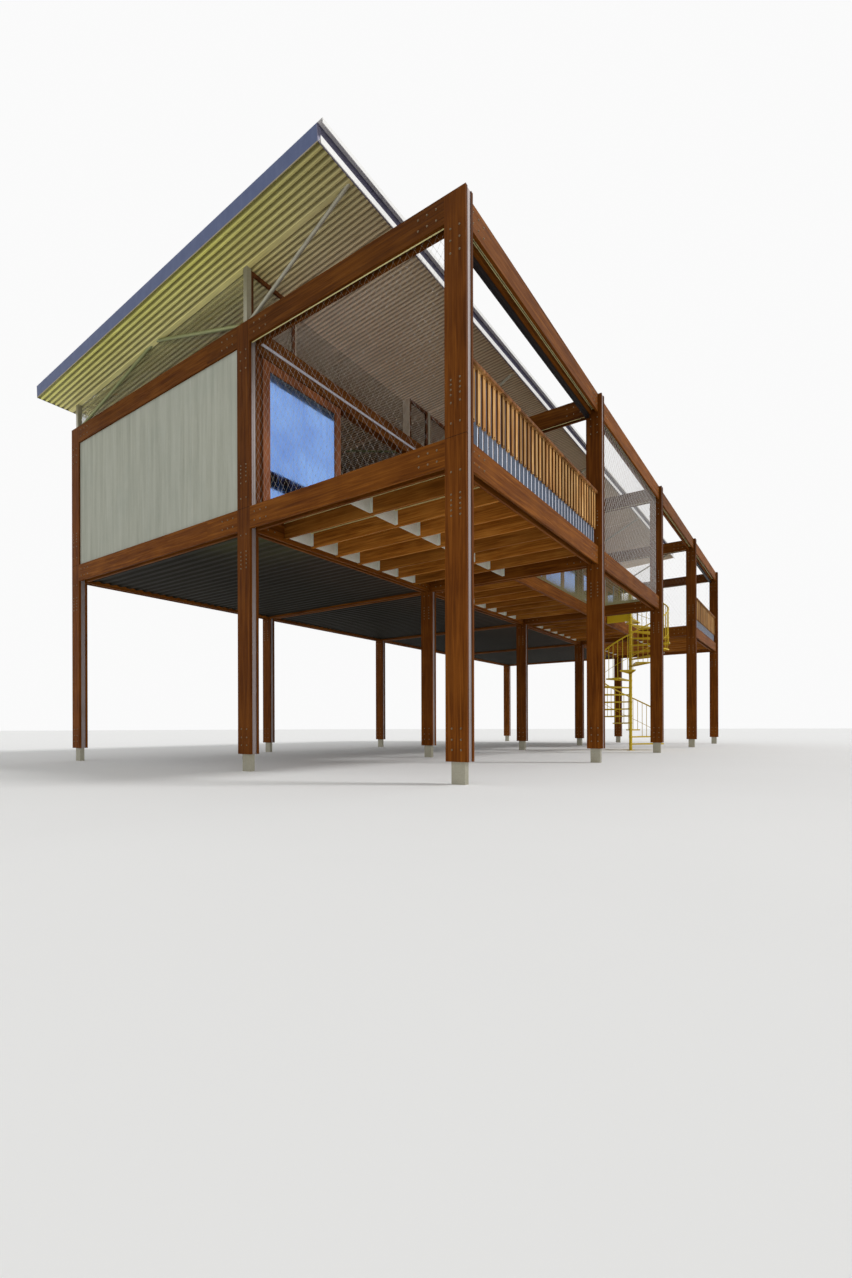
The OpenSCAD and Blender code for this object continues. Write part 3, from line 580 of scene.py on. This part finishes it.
# Battens: painted shade on the sides that face along X, darker in the gaps between them
m_batten = timber("batten_timber", 2,
                  (srgb(104, 62, 26), srgb(178, 128, 72), srgb(236, 196, 132)),
                  (BATTEN_PITCH, 0, 0), spread=0.36, edges=srgb(98, 54, 18),
                  other=(2, FLOOR + RAIL - RAIL_T,
                         (srgb(78, 42, 18), srgb(112, 70, 36), srgb(150, 104, 66))))
m_galv = steel("galvanised_steel", srgb(172, 168, 150), 0.5, stain=srgb(146, 138, 108))
m_core = steel("core_steel", srgb(158, 146, 144), 0.45, 80.0, srgb(128, 112, 96))
# Dark brown steel: painted shade on the beam cores, set back between their boards
m_shaded_core = steel("shaded_core_steel", srgb(84, 74, 58), 0.3, 80.0)
m_rear_strut = steel("rear_strut_steel", srgb(150, 154, 106), 0.4, stain=srgb(124, 132, 84))
# Almost white and matt: painted light on the joist caps, and a painted highlight on the core
# edges
m_lit_cap = steel("lit_cap_steel", srgb(252, 244, 176), 0.0, 70.0)
m_plate = steel("plate_steel", srgb(240, 245, 234), 0.1, 70.0, srgb(206, 206, 180))
m_bright = steel("bright_steel", srgb(224, 226, 236), 0.3, 120.0)
m_grey = steel("grey_steel", srgb(128, 142, 164), 0.3, 90.0)
m_bolt = steel("bolt_steel", srgb(140, 120, 94), 0.6, 200.0)
m_black = plain("blind_black", srgb(26, 26, 27), rough=0.5, gloss=0.3)
m_yellow = plain("yellow_paint", srgb(208, 178, 34), rough=0.4, wear=srgb(166, 128, 34),
                 scale=50.0, gloss=0.2)
m_cable = plain("steel_cable", srgb(180, 172, 160), rough=0.3, metal=0.35, scale=200.0)
# Almost white matt wire: the stainless wire's pale grey, lightened by a painted sheen
m_sheen_cable = plain("sheen_cable", srgb(232, 228, 222), rough=0.5, metal=0.1, scale=200.0)
m_sleeve = plain("cable_sleeve", srgb(142, 140, 136), rough=0.5, metal=0.7, scale=200.0)
m_cord = plain("net_cord", srgb(150, 144, 104), rough=0.8, scale=300.0)
# Almost white: painted sunlight on the turned lips of the roof's front channel
m_lit_lip = plain("lit_lip_white", srgb(238, 237, 234), rough=0.4, scale=12.0, gloss=0.3)
m_joint = plain("joint_shadow", srgb(40, 22, 10), rough=0.8, gloss=0.1)
m_seal = plain("wall_sealant", srgb(192, 196, 186), rough=0.7, gloss=0.2)
m_roof = sheet_metal("roof_metal", srgb(186, 190, 192), srgb(150, 156, 160))
# Blue, mirror-like panes: a painted reflection of the sky
m_sky_glass = glass("sky_reflection_glass", srgb(154, 196, 255), srgb(122, 162, 234), 0.7, 1.0, 0.6)
m_clear = glass("clear_glass", srgb(244, 248, 250), srgb(214, 222, 226), 0.0, 0.4, 0.5)

FINISH = {
    m_post: ["front_posts", "middle_posts", "rear_posts"],
    m_beam_x: ["front_floor_beams", "middle_floor_beams", "rear_floor_beams",
               "front_top_beams", "middle_top_beams", "rear_top_beams",
               "walkway_beam", "door_head"],
    m_beam_y: ["cross_floor_beams", "cross_top_beams"],
    m_joist: ["deck_joists"],
    m_plank: ["deck_boards"],
    m_floor: ["house_floor"],
    m_frame: ["window_frames", "door_leaf"],
    lined_frame(): ["clerestory_frames"],
    m_batten: ["balustrade_battens"],
    m_galv: ["post_stubs", "roof_columns", "front_struts", "door_track"],
    m_rear_strut: ["rear_struts"],
    m_core: ["post_cores"],
    m_shaded_core: ["floor_beam_cores", "top_beam_cores"],
    m_plate: ["deck_blocking"],
    m_grey: ["balustrade_fins", "fence_posts"],
    m_black: ["blind_tracks"],
    fascia(): ["roof_side_plates"],
    channel(): ["roof_front_channel", "roof_rear_plate"],
    soffit_metal(): ["roof_soffit", "roof_rafters"],
    m_roof: ["roof_sheet"],
    underfloor(): ["underfloor_sheet"],
    cement(): ["end_walls", "rear_wall"],
    m_sky_glass: ["window_glass", "door_glass"],
    m_clear: ["clerestory_glass"],
    m_cable: ["end_mesh", "net_bay_mesh", "walkway_mesh", "stair_side_mesh"],
    m_cord: ["hanging_net"],
    m_yellow: ["stair_pole", "stair_treads", "stair_balusters", "stair_handrail",
               "stair_landing"],
}
for mat, names in FINISH.items():
    for name in names:
        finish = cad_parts[name].data.materials
        finish.clear()
        finish.append(mat)

# Camera, with the photograph's height, horizon and focal length in its pixels
PHOTO_H, HORIZON, FOCAL, SENSOR = 1278, 728.05, 570.03, 36.0
YAW, ROLL = math.radians(34.4892), math.radians(-0.16)
EYE = Vector((LINES[0] - 6.1308, ROWS[0] - 3.5906, FLOOR - 3.6820))
forward = Vector((math.cos(YAW), math.sin(YAW), 0))
level = Vector((math.sin(YAW), -math.cos(YAW), 0))
up = level.cross(forward)
right = level * math.cos(ROLL) + up * math.sin(ROLL)
top = up * math.cos(ROLL) - level * math.sin(ROLL)
cam_data = bpy.data.cameras.new("camera")
cam = bpy.data.objects.new("camera", cam_data)
bpy.context.scene.collection.objects.link(cam)
cam.matrix_world = Matrix([(right[k], top[k], -forward[k], EYE[k]) for k in range(3)]
                          + [(0, 0, 0, 1)])
cam_data.sensor_width = SENSOR
cam_data.lens = FOCAL / PHOTO_H * SENSOR
cam_data.shift_y = (HORIZON - PHOTO_H / 2) / PHOTO_H
cam_data.clip_start, cam_data.clip_end = 0.05, 500
bpy.context.scene.camera = cam

# Cable mesh: one cell, inset of the border cable, pitch and radius of its lacing
CELL_W, CELL_H = 0.12, 0.187
BORDER_IN, LACE_PITCH, LACE_R = 0.012, 0.05, 0.009


def cable_panel(build, corner, along, w, h, wire=0.0013, sleeve=0.0026):
    """A diamond mesh of zigzag wires and sleeves, laced to a border cable on clips."""
    corner, along = Vector(corner), Vector(along)
    out = along.cross(Z_AXIS)

    def at(x, z):
        return corner + along * x + Z_AXIS * z

    def inside(value, size):
        return min(max(value, BORDER_IN), size - BORDER_IN)

    # Two wires in each column of cells: one bends in from its left, one from its right
    cols, rows = max(2, round(w / CELL_W)), 2 * max(2, round(h / CELL_H))
    dx, dz = w / cols, h / rows
    for j in range(cols):
        for turn in (0, 1):
            wires = []
            for k in range(rows + 1):
                step = k % 2
                x = (j + (0.5 * step if turn == 0 else 1 - 0.5 * step)) * dx
                side = wire if (turn == 0) == (step == 0) else -wire
                wires.append(at(inside(x, w) + side, inside(k * dz, h)))
            build.tube(wires, wire, 4, caps=False)
    # A sleeve where two wires meet
    for k in range(1, rows):
        for j in range(cols + (0 if k % 2 else 1)):
            x = (j + (0.5 if k % 2 else 0)) * dx
            if BORDER_IN < x < w - BORDER_IN:
                ends = [at(x, k * dz + s * 0.006) for s in (-1, 1)]
                build.tube(ends, sleeve, 6, mat=1, caps=False)
    low, far, high = BORDER_IN, w - BORDER_IN, h - BORDER_IN
    border = [at(x, z) for x, z in ((low, low), (far, low), (far, high), (low, high))]
    build.tube(border, 0.004, 6, closed=True)
    # Ties from the border cable to the frame
    for j in range(cols + 1):
        for z, s in ((0.0, 1), (h, -1)):
            x = inside(j * dx, w)
            build.tube([at(x, z), at(x, z + s * 0.02)], 0.003, 4)
    # Lacing wire, coiled round the border cable along the head and the foot
    points = 5 * round(w / LACE_PITCH)
    for z, s in ((0.0, 1), (h, -1)):
        path = []
        for k in range(points + 1):
            angle = k * math.pi * 0.4
            path.append(at(BORDER_IN + (w - 2 * BORDER_IN) * k / points,
                           z + s * (BORDER_IN + LACE_R * math.cos(angle)))
                        + out * (LACE_R * math.sin(angle)))
        build.tube(path, 0.0016, 4, caps=False)
    # Clips up both sides
    for x, s in ((0.0, 1), (w, -1)):
        z = 0.25
        while z < h - 0.1:
            build.tube([at(x, z), at(x + s * 0.02, z)], 0.005, 6)
            z += 0.45


def side_panel(build, x):
    cable_panel(build, (x + POST_T / 2, ROWS[0] + POST_W - INSET, FLOOR - INSET), (0, 1, 0),
                ROWS[1] - ROWS[0] - POST_W + 2 * INSET, CLEAR + INSET + CORE_RISE)


build = Build()
side_panel(build, LINES[0])
side_panel(build, LINES[4])
build.make("end_cables", m_cable, m_sleeve, slot="steel_cable", replaces=["end_mesh"])
build = Build()
side_panel(build, LINES[3])
build.make("stair_side_cables", m_cable, m_sleeve, slot="steel_cable",
           replaces=["stair_side_mesh"])
# The net bay's wires: thicker, and almost white for a painted sheen
build = Build()
cable_panel(build, (LINES[1] + POST_T, ROWS[0] + POST_W / 2, FLOOR - INSET), (1, 0, 0),
            SPAN, CLEAR + INSET + CORE_RISE, 0.003, 0.0045)
build.make("net_bay_cables", m_sheen_cable, m_sheen_cable, slot="steel_cable",
           replaces=["net_bay_mesh"])
build = Build()
for x, width in ((LINES[1] + POST_T, SPAN), (POST_T / 2, STAIR_X - POST_T / 2),
                 (LAND_X, LINES[3] - LAND_X)):
    cable_panel(build, (x, VOID_Y + EDGE / 2, FLOOR), (1, 0, 0), width, FENCE)
build.make("walkway_cables", m_cable, m_sleeve, slot="steel_cable", replaces=["walkway_mesh"])

# Hanging net: cells each way, where it hangs from and how deep, cords, knots and rope
NET_COLS, NET_ROWS = 74, 24
NET_DROP, NET_SAG = 0.06, 0.16
CORD_R, ROPE_R, KNOT = 0.0035, 0.009, [(0, 0.004), (0.007, 0.0085), (0.014, 0.004)]


def net_at(s, t):
    x0, y0 = LINES[1] + POST_T, ROWS[0] + SETBACK + POST_T
    u, v = 2 * s - 1, 2 * t - 1
    return Vector((x0 + SPAN * s, y0 + (VOID_Y - y0) * t,
                   FLOOR - NET_DROP - NET_SAG * (1 - u * u) * (1 - v * v)))


build = Build()
crossings = [[net_at(i / NET_COLS, j / NET_ROWS) for j in range(NET_ROWS + 1)]
             for i in range(NET_COLS + 1)]
for cord in crossings + list(zip(*crossings)):
    build.tube(cord, CORD_R, 4, caps=False)
for cord in crossings[1:-1]:
    for p in cord[1:-1]:
        build.turned(p - Z_AXIS * 0.007, (0, 0, 1), KNOT, 5)
rope = ([net_at(i / 30, 0) for i in range(30)] + [net_at(1, j / 10) for j in range(10)]
        + [net_at(1 - i / 30, 1) for i in range(30)]
        + [net_at(0, 1 - j / 10) for j in range(10)])
build.tube(rope, ROPE_R, 8, closed=True)
build.make("net_cords", m_cord, slot="net_cord", replaces=["hanging_net"])


# Bolts
def bolt(build, at, axis):
    """A washer and a domed nut."""
    radius, washer = 0.0095, 0.003
    build.turned(at, axis, [(0, radius * 1.5), (washer, radius * 1.4)], 10, smooth=False)
    build.turned(Vector(at) + Vector(axis) * washer, axis,
                 [(0, radius), (0.006, radius * 0.95), (0.011, radius * 0.45)], 6)


# Two columns on both faces of a post, where it meets its stub, the floor and the top
POST_COLS = (0.09, 0.225)
POST_ROWS = [0.44, 0.57, 0.71, 3.40, 3.47, 3.535, 3.60, 3.67, 3.955, 4.57,
             4.83, 4.93, 4.995, 5.06, 5.12, 6.72, 6.88, 7.03]
build = Build()
for x in LINES:
    for y in ROWS:
        for side in (-1, 1):
            face = x if side < 0 else x + POST_T
            for c in POST_COLS:
                for z in POST_ROWS:
                    bolt(build, (face, y + c, z), (side, 0, 0))
build.make("post_bolts", m_bolt, slot="galvanised_steel")

# Three columns of two bolts at both ends of a beam, on both its faces
BEAM_COLS, BEAM_ROWS = (0.12, 0.262, 0.405), (0.11, 0.255)
build = Build()
for i in range(4):
    for r, y in enumerate(ROWS):
        for low in (FLOOR_LOW, TOP_LOW):
            if r == 0 and i == 2 and low == FLOOR_LOW:
                continue
            for c in BEAM_COLS:
                for x in (LINES[i] + POST_T + c, LINES[i + 1] - c):
                    for h in BEAM_ROWS:
                        z = low + BEAM - h
                        bolt(build, (x, y + SETBACK, z), (0, -1, 0))
                        bolt(build, (x, y + SETBACK + POST_T, z), (0, 1, 0))
for x in LINES:
    for r in (0, 1):
        for low in (FLOOR_LOW, TOP_LOW):
            for c in BEAM_COLS:
                for y in (ROWS[r] + POST_W + c, ROWS[r + 1] - c):
                    for h in BEAM_ROWS:
                        z = low + BEAM - h
                        bolt(build, (x, y, z), (-1, 0, 0))
                        bolt(build, (x + POST_T, y, z), (1, 0, 0))
build.make("beam_bolts", m_bolt, slot="galvanised_steel")

# Splice line across the boards of every post, level with the floor
PROUD = 0.0006
build = Build()
for x in LINES:
    for y in ROWS:
        for x0 in (x, x + POST_T - BOARD):
            build.box(x0 - PROUD, x0 + BOARD + PROUD, y - PROUD, y + POST_W + PROUD,
                      FLOOR - 0.003, FLOOR + 0.003)
build.make("post_splices", m_joint)


# Deck
def joist_x(i, k):
    return LINES[i] + POST_T + k * SPAN / JOISTS


def deck_front(i):
    """Front edge of the deck: the frame in the end bays, else the walkway's beam."""
    return ROWS[0] + SETBACK + POST_T if i in (0, 3) else VOID_Y + EDGE


PLANK, PLANK_GAP = 0.09, 0.006
build = Build()
for i in range(4):
    y0 = deck_front(i)
    count = round((JOIST_END - y0) / (PLANK + PLANK_GAP))
    step = (JOIST_END - y0) / count
    for k in range(count):
        build.bevel_box(LINES[i] + POST_T, LINES[i] + BAY, y0 + k * step + PLANK_GAP / 2,
                        y0 + (k + 1) * step - PLANK_GAP / 2,
                        JOIST_TOP + draw.uniform(0, 0.0004), FLOOR, 0.002)
build.make("deck_planks", m_plank, slot="joist_timber", replaces=["deck_boards"])

# Pale strip over each joist, with its two edges turned down, almost white for painted light
# along the joist tops
CAP_HALF, CAP_LOW, CAP_LIP, LIP_HALF = 0.037, JOIST_TOP - 0.0012, 0.018, 0.0008
build = Build()
for i in range(4):
    y0 = deck_front(i)
    for k in range(1, JOISTS):
        x = joist_x(i, k)
        build.box(x - CAP_HALF, x + CAP_HALF, y0, JOIST_END, CAP_LOW, JOIST_TOP - 0.0002)
        for s in (-1, 1):
            edge = x + s * (CAP_HALF - 0.001)
            build.box(edge - LIP_HALF, edge + LIP_HALF, y0, JOIST_END,
                      JOIST_TOP - CAP_LIP, CAP_LOW)
build.make("joist_caps", m_lit_cap, slot="galvanised_steel")

# Pale flange edges along the underside of the top beams' cores, their almost white a painted
# highlight: two at the front, and one on each post line from the front row to the middle row
FLANGE_W, FLANGE_LOW = 0.011, TOP_LOW + CORE_RISE - 0.0035
SIDE_FLANGE_W, SIDE_FLANGE_LOW = 0.022, TOP_LOW + 0.001
build = Build()
for i in range(4):
    for y in (ROWS[0] + 0.165, ROWS[0] + 0.19):
        build.bevel_box(LINES[i] + POST_T, LINES[i + 1], y, y + FLANGE_W,
                        FLANGE_LOW, FLANGE_LOW + 0.0036, 0.0008)
for i, x in enumerate(LINES):
    x0 = x + (POST_T - BOARD - SIDE_FLANGE_W if i == 4 else BOARD)
    build.bevel_box(x0, x0 + SIDE_FLANGE_W, ROWS[0] + POST_W, ROWS[1], SIDE_FLANGE_LOW,
                    SIDE_FLANGE_LOW + 0.004, 0.0008)
build.make("core_edges", m_lit_cap, slot="galvanised_steel")

# Turned edges of the roof's front channel, in four lengths: the lower and the upper;
# almost white for painted sunlight on them
LIPS = ((-0.0624, -0.058, 0.048), (-0.1124, 0.19, 0.263))
DOWN_ROOF = on_roof(0, 1, 0) - on_roof(0, 0, 0)
OUT_OF_ROOF = on_roof(0, 0, 1) - on_roof(0, 0, 0)
build = Build()
for v, w0, w1 in LIPS:
    for k in range(4):
        x0, x1 = -ROOF_X + k * ROOF_X / 2, -ROOF_X + (k + 1) * ROOF_X / 2 - 0.0015
        x, half = (x0 + x1) / 2, Vector(((x1 - x0) / 2, 0, 0))
        build.slab(on_roof(x, v, (w0 + w1) / 2),
                   (half, DOWN_ROOF * 0.0012, OUT_OF_ROOF * ((w1 - w0) / 2)))
        build.slab(on_roof(x, v + 0.004, w0 + 0.001),
                   (half, DOWN_ROOF * 0.004, OUT_OF_ROOF * 0.001))
build.make("roof_lips", m_lit_lip, slot="roof_metal")

# Folded ends of the plates between the joists, with their screws
FOLD, SCREWS, SCREW_PITCH = 0.004, 6, 0.038
build = Build()
for i in range(4):
    rows = [(JOIST_END - 0.008, range(1, JOISTS - 1))]
    if i in (0, 3):
        rows.append(((ROWS[0] + SETBACK + POST_T + JOIST_END) / 2, range(JOISTS)))
    for y, places in rows:
        for k in places:
            start = joist_x(i, k) + (0 if k == 0 else JOIST_T / 2)
            end = joist_x(i, k + 1) - (0 if k == JOISTS - 1 else JOIST_T / 2)
            for x, s in ((start, 1), (end, -1)):
                build.box(x, x + s * FOLD, y - 0.05, y, JOIST_TOP - 0.25, JOIST_TOP - 0.002)
                for q in range(SCREWS):
                    z = JOIST_TOP - 0.03 - q * SCREW_PITCH
                    build.turned((x + s * FOLD, y - 0.026, z), (s, 0, 0),
                                 [(0, 0.006), (0.003, 0.005)], 6)
build.make("blocking_flanges", m_plate, slot="galvanised_steel")

# Pale front edges of the balustrade fins, and the plugs at head and foot of each batten
COMB_Y, FIN_EDGE = ROWS[0] + 0.1175, 0.010
build, plugs = Build(), Build()
for i in (0, 3):
    for k in range(BATTENS):
        x = LINES[i] + POST_T + (k + 0.5) * BATTEN_PITCH
        build.bevel_box(x - FIN_EDGE, x + FIN_EDGE, COMB_Y + 0.0262, COMB_Y + 0.0302, FLOOR,
                        FLOOR + BATTEN_LIFT - 0.001, 0.0012)
        for z, radius in ((FLOOR + BATTEN_LIFT + 0.018, 0.013),
                          (FLOOR + RAIL - RAIL_T - 0.035, 0.009)):
            plugs.turned((x, COMB_Y, z), (0, -1, 0), [(0, radius), (0.0025, radius - 0.003)])
build.make("fin_edges", m_bright, slot="galvanised_steel")
plugs.make("batten_plugs", m_joint)

# Galvanised channel across the beam over the sliding door, with its screws
HEAD_LOW, HEAD_H, HEAD_T, SCREWS = TOP_LOW + 0.114, 0.048, 0.004, 9
build = Build()
y, x0, x1 = ROWS[1] + SETBACK, LINES[0] + POST_T + 0.09, LINES[1] - 0.02
build.bevel_box(x0, x1, y - 0.005, y, HEAD_LOW, HEAD_LOW + HEAD_H, 0.001)
for z in (HEAD_LOW, HEAD_LOW + HEAD_H - HEAD_T):
    build.bevel_box(x0, x1, y - 0.014, y - 0.005, z, z + HEAD_T, 0.001)
for k in range(SCREWS):
    x = x0 + 0.1 + k * (x1 - x0 - 0.2) / (SCREWS - 1)
    build.turned((x, y - 0.005, HEAD_LOW + 0.025), (0, -1, 0), [(0, 0.007), (0.004, 0.005)])
build.make("door_head_channel", m_bright, slot="galvanised_steel")

# Glazing: left end, front face, foot, width and height of the door, which steps down
# and forwards from two parked leaves, and of every fixed leaf
LEAF_X, LEAF_Y, STEP_X, STEP_Y = LINES[0] + POST_T + 0.015, ROWS[1] + 0.205, 0.08, 0.06
TRACK, SILL, FIXED_IN = 0.0143, 1.0, SETBACK + (POST_T - LEAF_T) / 2
DOOR = (LEAF_X + 2 * STEP_X, LEAF_Y - 2 * STEP_Y, FLOOR + TRACK, LEAF_W,
        LEAF_H - TRACK - 0.015)
PANES = [(LEAF_X + k * STEP_X, LEAF_Y - k * STEP_Y, FLOOR, LEAF_W, LEAF_H) for k in (0, 1)]
for row, bays, sill in ((1, (1, 2, 3), 0), (2, (1, 2), SILL)):
    PANES += [(LINES[i] + POST_T + k * SPAN / 3, ROWS[row] + FIXED_IN, FLOOR + sill,
               SPAN / 3, CLEAR - sill) for i in bays for k in range(3)]


def beads(build, joints, x, y, z, w, h):
    """Glazing beads on both faces of a pane, and the joints of stiles and rails."""
    wide, deep = 0.014, 0.012
    left, right, low, high = STILE, w - STILE, STILE, h - STILE
    front, back = y + (LEAF_T - PANE_T) / 2, y + (LEAF_T + PANE_T) / 2
    for y0, y1 in ((front - deep, front), (back, back + deep)):
        for x0, x1, z0, z1 in ((left, left + wide, low, high),
                               (right - wide, right, low, high),
                               (left + wide, right - wide, low, low + wide),
                               (left + wide, right - wide, high - wide, high)):
            build.bevel_box(x + x0, x + x1, y0, y1, z + z0, z + z1, 0.0015)
    for middle in (z + low, z + high):
        for x0 in (x, x + right):
            for y0 in (y - 0.0005, y + LEAF_T):
                joints.box(x0, x0 + STILE, y0, y0 + 0.0005, middle - 0.0007, middle + 0.0007)


for panes, body, names in ((PANES, "house", ("glazing_beads", "leaf_joints")),
                           ([DOOR], "sliding_door", ("door_beads", "door_joints"))):
    build, joints = Build(), Build()
    for pane in panes:
        beads(build, joints, *pane)
    build.make(names[0], m_frame, body=body)
    joints.make(names[1], m_joint, body=body)

# Sealed joints between the sheets of the end walls and the rear wall
SEAL_HALF, SEAL_T, WALL_IN = 0.004, 0.0012, (POST_T - WALL_T) / 2
build = Build()
for x in (LINES[0], LINES[4]):
    for face, s in ((x + WALL_IN, -1), (x + WALL_IN + WALL_T, 1)):
        for k in (1, 2, 3):
            y = ROWS[1] + POST_W + k * SHEET_W
            build.box(face, face + s * SEAL_T, y - SEAL_HALF, y + SEAL_HALF, FLOOR, TOP_LOW)
for i in (0, 3):
    for k in (1, 2, 3):
        x = LINES[i] + POST_T + k * SPAN / 4
        y = ROWS[2] + SETBACK + WALL_IN
        for face, s in ((y, -1), (y + WALL_T, 1)):
            build.box(x - SEAL_HALF, x + SEAL_HALF, face, face + s * SEAL_T, FLOOR, TOP_LOW)
build.make("sheet_joints", m_seal)


# Spiral stair
def around(radius, angle, z):
    return Vector((STAIR_X + radius * math.cos(angle), STAIR_Y + radius * math.sin(angle), z))


def tread_z(k):
    return FLOOR - (k + 1) * RISE


RIB_RADII, RIB_END = (0.3, 0.46, 0.62, 0.78, 0.94), 0.05


def pan(build, k):
    """A folded tread: a plate with its edges turned down, ribs and a root collar."""
    metal, root = 0.004, POLE_R / math.cos(TURN / 2)
    a0, a1, z = TOP_ANGLE - (k + 1) * TURN, TOP_ANGLE - k * TURN, tread_z(k)
    arc = [a0 + (a1 - a0) * q / 6 for q in range(7)]
    rim = [around(root, a0, z)] + [around(STAIR_R - 0.001, a, z) for a in arc]
    rim.append(around(root, a1, z))
    n = len(rim)
    build.add(rim + [p - Z_AXIS * metal for p in rim],
              [tuple(range(n)), tuple(range(2 * n - 1, n - 1, -1))]
              + [(i, i + n, (i + 1) % n + n, (i + 1) % n) for i in range(n)])
    middle = around(STAIR_R / 2, (a0 + a1) / 2, z)
    half = Z_AXIS * ((TREAD_T - metal) / 2)
    for p, q in zip(rim, rim[1:]):
        along = (q - p).normalized()
        side = Z_AXIS.cross(along)
        if side.dot(middle - (p + q) / 2) < 0:
            side = -side
        build.slab((p + q) / 2 + side * (metal / 2) - Z_AXIS * metal - half,
                   ((q - p) / 2 - along * 0.0005, side * (metal / 2), half))
    for r in RIB_RADII:
        p, q = around(r, a0 + RIB_END / r, z), around(r, a1 - RIB_END / r, z)
        build.slab((p + q) / 2 - Z_AXIS * (metal / 2),
                   ((q - p) / 2, Z_AXIS.cross((q - p).normalized()) * 0.004,
                    Z_AXIS * (metal / 2 + 0.0006)))
    build.turned((STAIR_X, STAIR_Y, z - TREAD_T), (0, 0, 1),
                 [(0, POLE_R + 0.006), (TREAD_T + 0.012, POLE_R + 0.006)], 24)


build = Build()
for k in range(RISERS - 1):
    pan(build, k)
build.make("stair_pans", m_yellow, slot="yellow_steel", replaces=["stair_treads"])

# Handrail: one smooth round bar over the balusters, three to a tread, with closed ends
RAIL_R, BALUSTERS = STAIR_R - GRIP, 3 * (RISERS - 1) + 2
build = Build()
first = TOP_ANGLE - (RISERS - 1) * TURN + TURN / 6
path = [around(RAIL_R, first + i / 5 * TURN / 3,
               tread_z(RISERS - 2) + GUARD + (i / 5 - 1) * RISE / 3)
        for i in range(5 * (BALUSTERS - 1) + 1)]
build.tube(path, GRIP / 2 - 0.0005, 12)
build.make("stair_grip", m_yellow, slot="yellow_steel", replaces=["stair_handrail"])

# Thin rod through the balusters, their feet, the pole's cap and its base plate
ROD_DROP, ROD_R = 0.68, 0.007
build = Build()
build.tube([p - Z_AXIS * ROD_DROP for p in path], ROD_R, 8)
for i in range(BALUSTERS):
    k = RISERS - 2 - i // 3
    foot = tread_z(k) if k >= 0 else FLOOR
    build.turned(around(RAIL_R, first + i * TURN / 3, foot), (0, 0, 1),
                 [(0, 0.016), (0.004, 0.016), (0.007, 0.0095)], 10)
for z, profile in (
        (FLOOR + FENCE - 0.012,
         [(0, POLE_R + 0.003), (0.008, POLE_R + 0.003), (0.0115, POLE_R * 0.8)]),
        (0, [(0, 0.12), (0.01, 0.12), (0.0105, 0.06), (0.016, POLE_R + 0.001)])):
    build.turned((STAIR_X, STAIR_Y, z), (0, 0, 1), profile, 24)
build.make("stair_fittings", m_yellow, slot="yellow_steel")

# Stage: the world's level on the object, and as the camera, glass and metal see it
WORLD_LEVEL, WORLD_SEEN, SUN_LEVEL, SUN_ANGLE = 0.62, 0.96, 1.4, math.radians(12)
FLOOR_HALF = 300
scene = bpy.context.scene
world = bpy.data.worlds.new("studio")
scene.world = world
world.use_nodes = True
tree = world.node_tree
rays = tree.nodes.new("ShaderNodeLightPath")
seen = rays.outputs["Is Camera Ray"]
for kind in ("Is Transmission Ray", "Is Glossy Ray"):
    larger = tree.nodes.new("ShaderNodeMath")
    larger.operation = "MAXIMUM"
    tree.links.new(seen, larger.inputs[0])
    tree.links.new(rays.outputs[kind], larger.inputs[1])
    seen = larger.outputs[0]
strength = tree.nodes.new("ShaderNodeMapRange")
tree.links.new(seen, strength.inputs["Value"])
strength.inputs["To Min"].default_value = WORLD_LEVEL
strength.inputs["To Max"].default_value = WORLD_SEEN
background = tree.nodes["Background"]
background.inputs["Color"].default_value = (1, 1, 1, 1)
tree.links.new(strength.outputs["Result"], background.inputs["Strength"])

sun = bpy.data.lights.new("key", "SUN")
sun.energy = SUN_LEVEL
sun.angle = SUN_ANGLE
sun_obj = bpy.data.objects.new("key", sun)
sun_obj.rotation_euler = Vector((0.45, -0.8, 0.85)).to_track_quat("Z", "Y").to_euler()
scene.collection.objects.link(sun_obj)

mesh = bpy.data.meshes.new("studio_floor")
mesh.from_pydata([(x * FLOOR_HALF, y * FLOOR_HALF, 0)
                  for x, y in ((-1, -1), (1, -1), (1, 1), (-1, 1))], [], [(0, 1, 2, 3)])
floor_obj = bpy.data.objects.new("studio_floor", mesh)
scene.collection.objects.link(floor_obj)
paint = Shade("studio_floor")
paint.set(Base_Color=paint.tint((0.84, 0.84, 0.83, 1), (0.87, 0.87, 0.86, 1),
                                paint.noise(paint.place, 0.4), 1.0), Roughness=0.9)
mesh.materials.append(paint.mat)

scene.view_settings.view_transform = "Standard"
